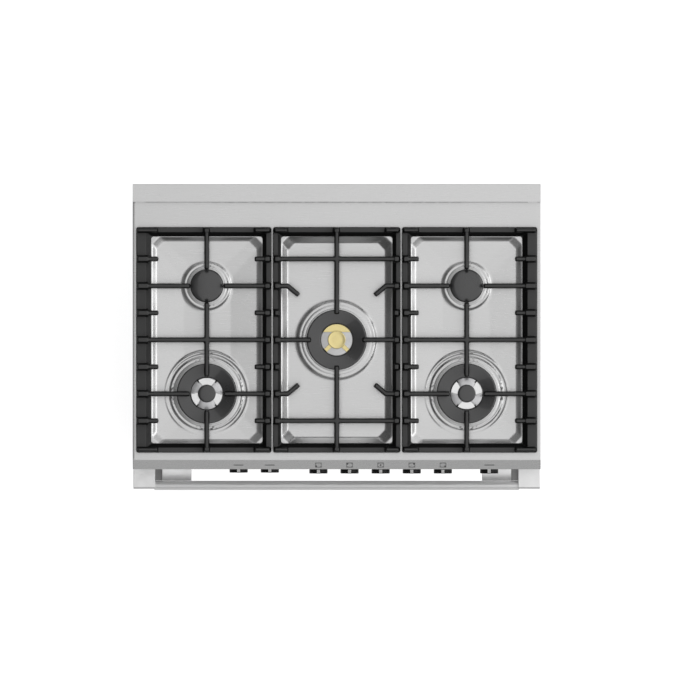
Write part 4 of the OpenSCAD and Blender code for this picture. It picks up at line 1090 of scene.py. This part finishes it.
def frame_plate(shape, half_w, z0, z1, hole_half, h0, h1, y0, y1, radius=4.0, hole_radius=14.0):
    """A rectangular plate with a rectangular window, both with round corners."""
    outer = round_corners(block(-half_w, half_w, z0, z1), radius)
    inner = round_corners(block(-hole_half, hole_half, h0, h1), hole_radius)
    count = len(outer)
    points = [(u, y, v) for y in (y0, y1) for ring in (outer, inner) for u, v in ring]
    faces = []
    for i in range(count):
        j = (i + 1) % count
        faces.append([i, j, count + j, count + i])
        faces.append([2 * count + i, 3 * count + i, 3 * count + j, 2 * count + j])
        faces.append([i, 2 * count + i, 2 * count + j, j])
        faces.append([count + i, count + j, 3 * count + j, 3 * count + i])
    shape.add(points, faces)


def make_door():
    skin = Shape()
    half, z0, z1 = DOOR_HI[0], DOOR_LO[2], DOOR_HI[2]
    frame_plate(skin, half, z0, z1, *WINDOW, DOOR_Y, DOOR_Y + 2)
    back, deep = DOOR_Y + 1.5, DOOR_HI[1]
    for x0, x1 in ((-half, -half + 2), (half - 2, half)):
        prism(skin, block(x0, x1, back, deep), "z", z0 + 3, z1 - 3)
    prism(skin, block(-half + 3, half - 3, back, deep), "z", z1 - 2, z1)
    notch0, notch1 = 374.0, 390.0
    for x0, x1 in ((-half + 3, -notch1), (-notch0, notch0), (notch1, half - 3)):
        prism(skin, block(x0, x1, back, deep), "z", z0, z0 + 2)
    piece("door_skin", skin, "door", "door", ["door_outer_panel"], bevel=0.8, sharp=35)
    low, high = box_mm("door_outer_glass")
    glass = Shape()
    prism(glass, round_corners(block(low[0], high[0], low[2], high[2]), 16), "y", low[1] + 0.1, high[1])
    piece("door_window_glass", glass, "dark_glass", "door", ["door_outer_glass"], bevel=0.4)
    border = Shape()
    frame_plate(border, high[0], low[2], high[2], WINDOW[0] - 42, WINDOW[1] + 38, WINDOW[2] - 38,
                high[1] + 0.1, high[1] + 0.5, 16.0, 20.0)
    piece("window_print_border", border, "frit_and_slot_shade", "door")


# ---- body parts that show from the sides

def make_sides():
    low, high = box_mm("side_panels")
    y0, y1 = low[1], high[1]
    sheet, flange = HALF_W - 1.5, HALF_W - 22.0
    outline = [(HALF_W, y0), (HALF_W, y1), (flange, y1), (flange, y1 - 1.5), (sheet, y1 - 1.5),
               (sheet, y0 + 1.5), (flange, y0 + 1.5), (flange, y0)]
    shape = Shape()
    prism(shape, round_corners(outline, [1.4, 1.4, 0, 0, 0, 0, 0, 0], 4), "z", low[2], high[2])
    shape.mirrored_x()
    piece("folded_side_panels", shape, "side", BODY, ["side_panels"], bevel=0.3)
    ribs = Shape()
    for z in np.linspace(low[2] + 120, high[2] - 120, 3):
        prism(ribs, round_corners(block(y0 + 60, y1 - 60, z - 9, z + 9), 8), "x", HALF_W - 0.9, HALF_W - 0.1)
    ribs.mirrored_x()
    piece("side_panel_ribs", ribs, "side", BODY, bevel=0.5)


def make_legs():
    low, high = box_mm("legs")
    foot_r = 22.0
    foot = [(0, 0), (20.5, 0), (22, 1.2), (22, 7), (20.5, 9), (15.5, 10), (15, 15), (13, 16.5), (6, 17),
            (6, 19)]
    thread = [(6.0 if k % 2 else 5.2, 19 + k * 1.25) for k in range(49)]
    collar = [(0, 92), (18.6, 92), (19, 93), (19, 104), (18, 105), (0, 105)]
    shape = Shape()
    for x in (low[0] + foot_r, high[0] - foot_r):
        for y in (low[1] + foot_r, high[1] - foot_r):
            lathe(shape, foot, (x, y, 0), steps=48)
            lathe(shape, thread, (x, y, 0), steps=32)
            prism(shape, arc(x, y, 18, 30, 390, 6)[:-1], "z", 81, 92)
            lathe(shape, collar, (x, y, 0), steps=48)
    piece("levelling_legs", shape, "leg", BODY, ["legs"], sharp=40)


# CAD nodes that are shown as they are, by material
KEPT = {
    "zinc": "back_panel base_tray", "zinc_cast": "gas_regulator", "frame": "front_frame",
    "plated": "gas_manifold oven_burners fan_blade flue_duct door_hinge_arms door_hinge_channels "
              "panel_screws",
    "valve_brass": "gas_valves valve_stem_1 valve_stem_2 valve_stem_3 valve_stem_4 valve_stem_5",
    "alu_tube": "burner_tubes", "alu_cup": "burner_cups", "ceramic": "igniters",
    "white_plastic": "spark_module", "plastic": "oven_switches cord_gland",
    "oven": "oven_liner oven_floor fan_cover door_inner_panel", "motor": "fan_motor", "lamp": "oven_lamp",
    "chrome": "rack_guides oven_racks", "wool": "insulation", "rubber": "door_gasket", "kick": "kick_plate",
    "clear_glass": "door_inner_glass",
}


def make_kept():
    for material, nodes in KEPT.items():
        for node in nodes.split():
            keep(node, material)


# ---- floor, light and camera

def make_stage():
    mesh = bpy.data.meshes.new("floor")
    mesh.from_pydata([(x, y, -0.0005) for x, y in block(-30, 30, -30, 30)], [], [[0, 1, 2, 3]])
    floor = new_object("floor", mesh)
    mat, tree = shader("pale_floor", grey(0.86), 0.0, 0.9)
    sockets(tree)["Emission Color"].default_value = (1, 1, 1, 1)
    sockets(tree)["Emission Strength"].default_value = 0.75
    floor.data.materials.append(mat)
    floor.visible_glossy = False


def area_light(name, place_at, aim, size, radiance):
    """A soft rectangular light. Its power gives the stated radiance over its face."""
    data = bpy.data.lights.new(name, "AREA")
    data.shape = "RECTANGLE"
    data.size, data.size_y = size
    data.energy = radiance * math.pi * size[0] * size[1]
    light = new_object(name, data)
    light.location = place_at
    light.rotation_mode = "QUATERNION"
    light.rotation_quaternion = (Vector(aim) - Vector(place_at)).to_track_quat("-Z", "Y")
    light.visible_camera = False


def make_lights():
    world = bpy.data.worlds.new("studio")
    bpy.context.scene.world = world
    world.use_nodes = True
    tree = world.node_tree
    coords = tree.nodes.new("ShaderNodeTexCoord")
    split = tree.nodes.new("ShaderNodeSeparateXYZ")
    height = tree.nodes.new("ShaderNodeMapRange")
    height.inputs["From Min"].default_value = -0.75
    height.inputs["From Max"].default_value = -0.05
    tree.links.new(coords.outputs["Generated"], split.inputs[0])
    tree.links.new(split.outputs["Z"], height.inputs["Value"])
    shade = ramp(tree, height.outputs["Result"], [(0.0, grey(0.55)), (1.0, grey(0.20))])
    tree.links.new(shade, tree.nodes["Background"].inputs["Color"])
    area_light("overhead", (1.9, 0, 6.0), (1.9, 0, 0.9), (6.6, 8), 0.79)
    area_light("right_key", (5.3, 1.8, 3.0), (0, 1.8, 3.0), (7, 6.0), 1.10)
    area_light("right_high", (4.9, 0, 4.6), (0, 0, 0.9), (6, 2.6), 0.9)
    area_light("front_fill", (0, -6.0, 1.2), (0, 0, 1.2), (8, 2.4), 0.36)
    area_light("front_high", (0, -5.4, 5.2), (0, -0.3, 0.8), (6, 2.4), 0.22)
    area_light("back_fill", (0, 6.0, 2.3), (0, 0, 2.3), (8, 4.4), 0.70)


FRAME_WIDTH = 1.512
CAMERA_AIM = (0.0018, -0.0004)
CAMERA_RISE = 58.0
SENSOR = 36.0


def make_camera():
    data = bpy.data.cameras.new("camera")
    data.sensor_width = SENSOR
    data.lens = SENSOR * (CAMERA_RISE - TOP_Z * MM) / FRAME_WIDTH
    data.clip_start = 1.0
    data.clip_end = 200.0
    camera = new_object("camera", data)
    camera.location = (*CAMERA_AIM, CAMERA_RISE)
    bpy.context.scene.camera = camera


for make in (make_stage, make_lights, make_camera, make_worktop, make_grates, make_burners,
             make_flame_rings, make_brass, make_trim, make_panel, make_marks, make_knobs,
             make_handle, make_door, make_sides, make_legs, make_kept):
    make()
bpy.context.scene.view_settings.view_transform = "Standard"
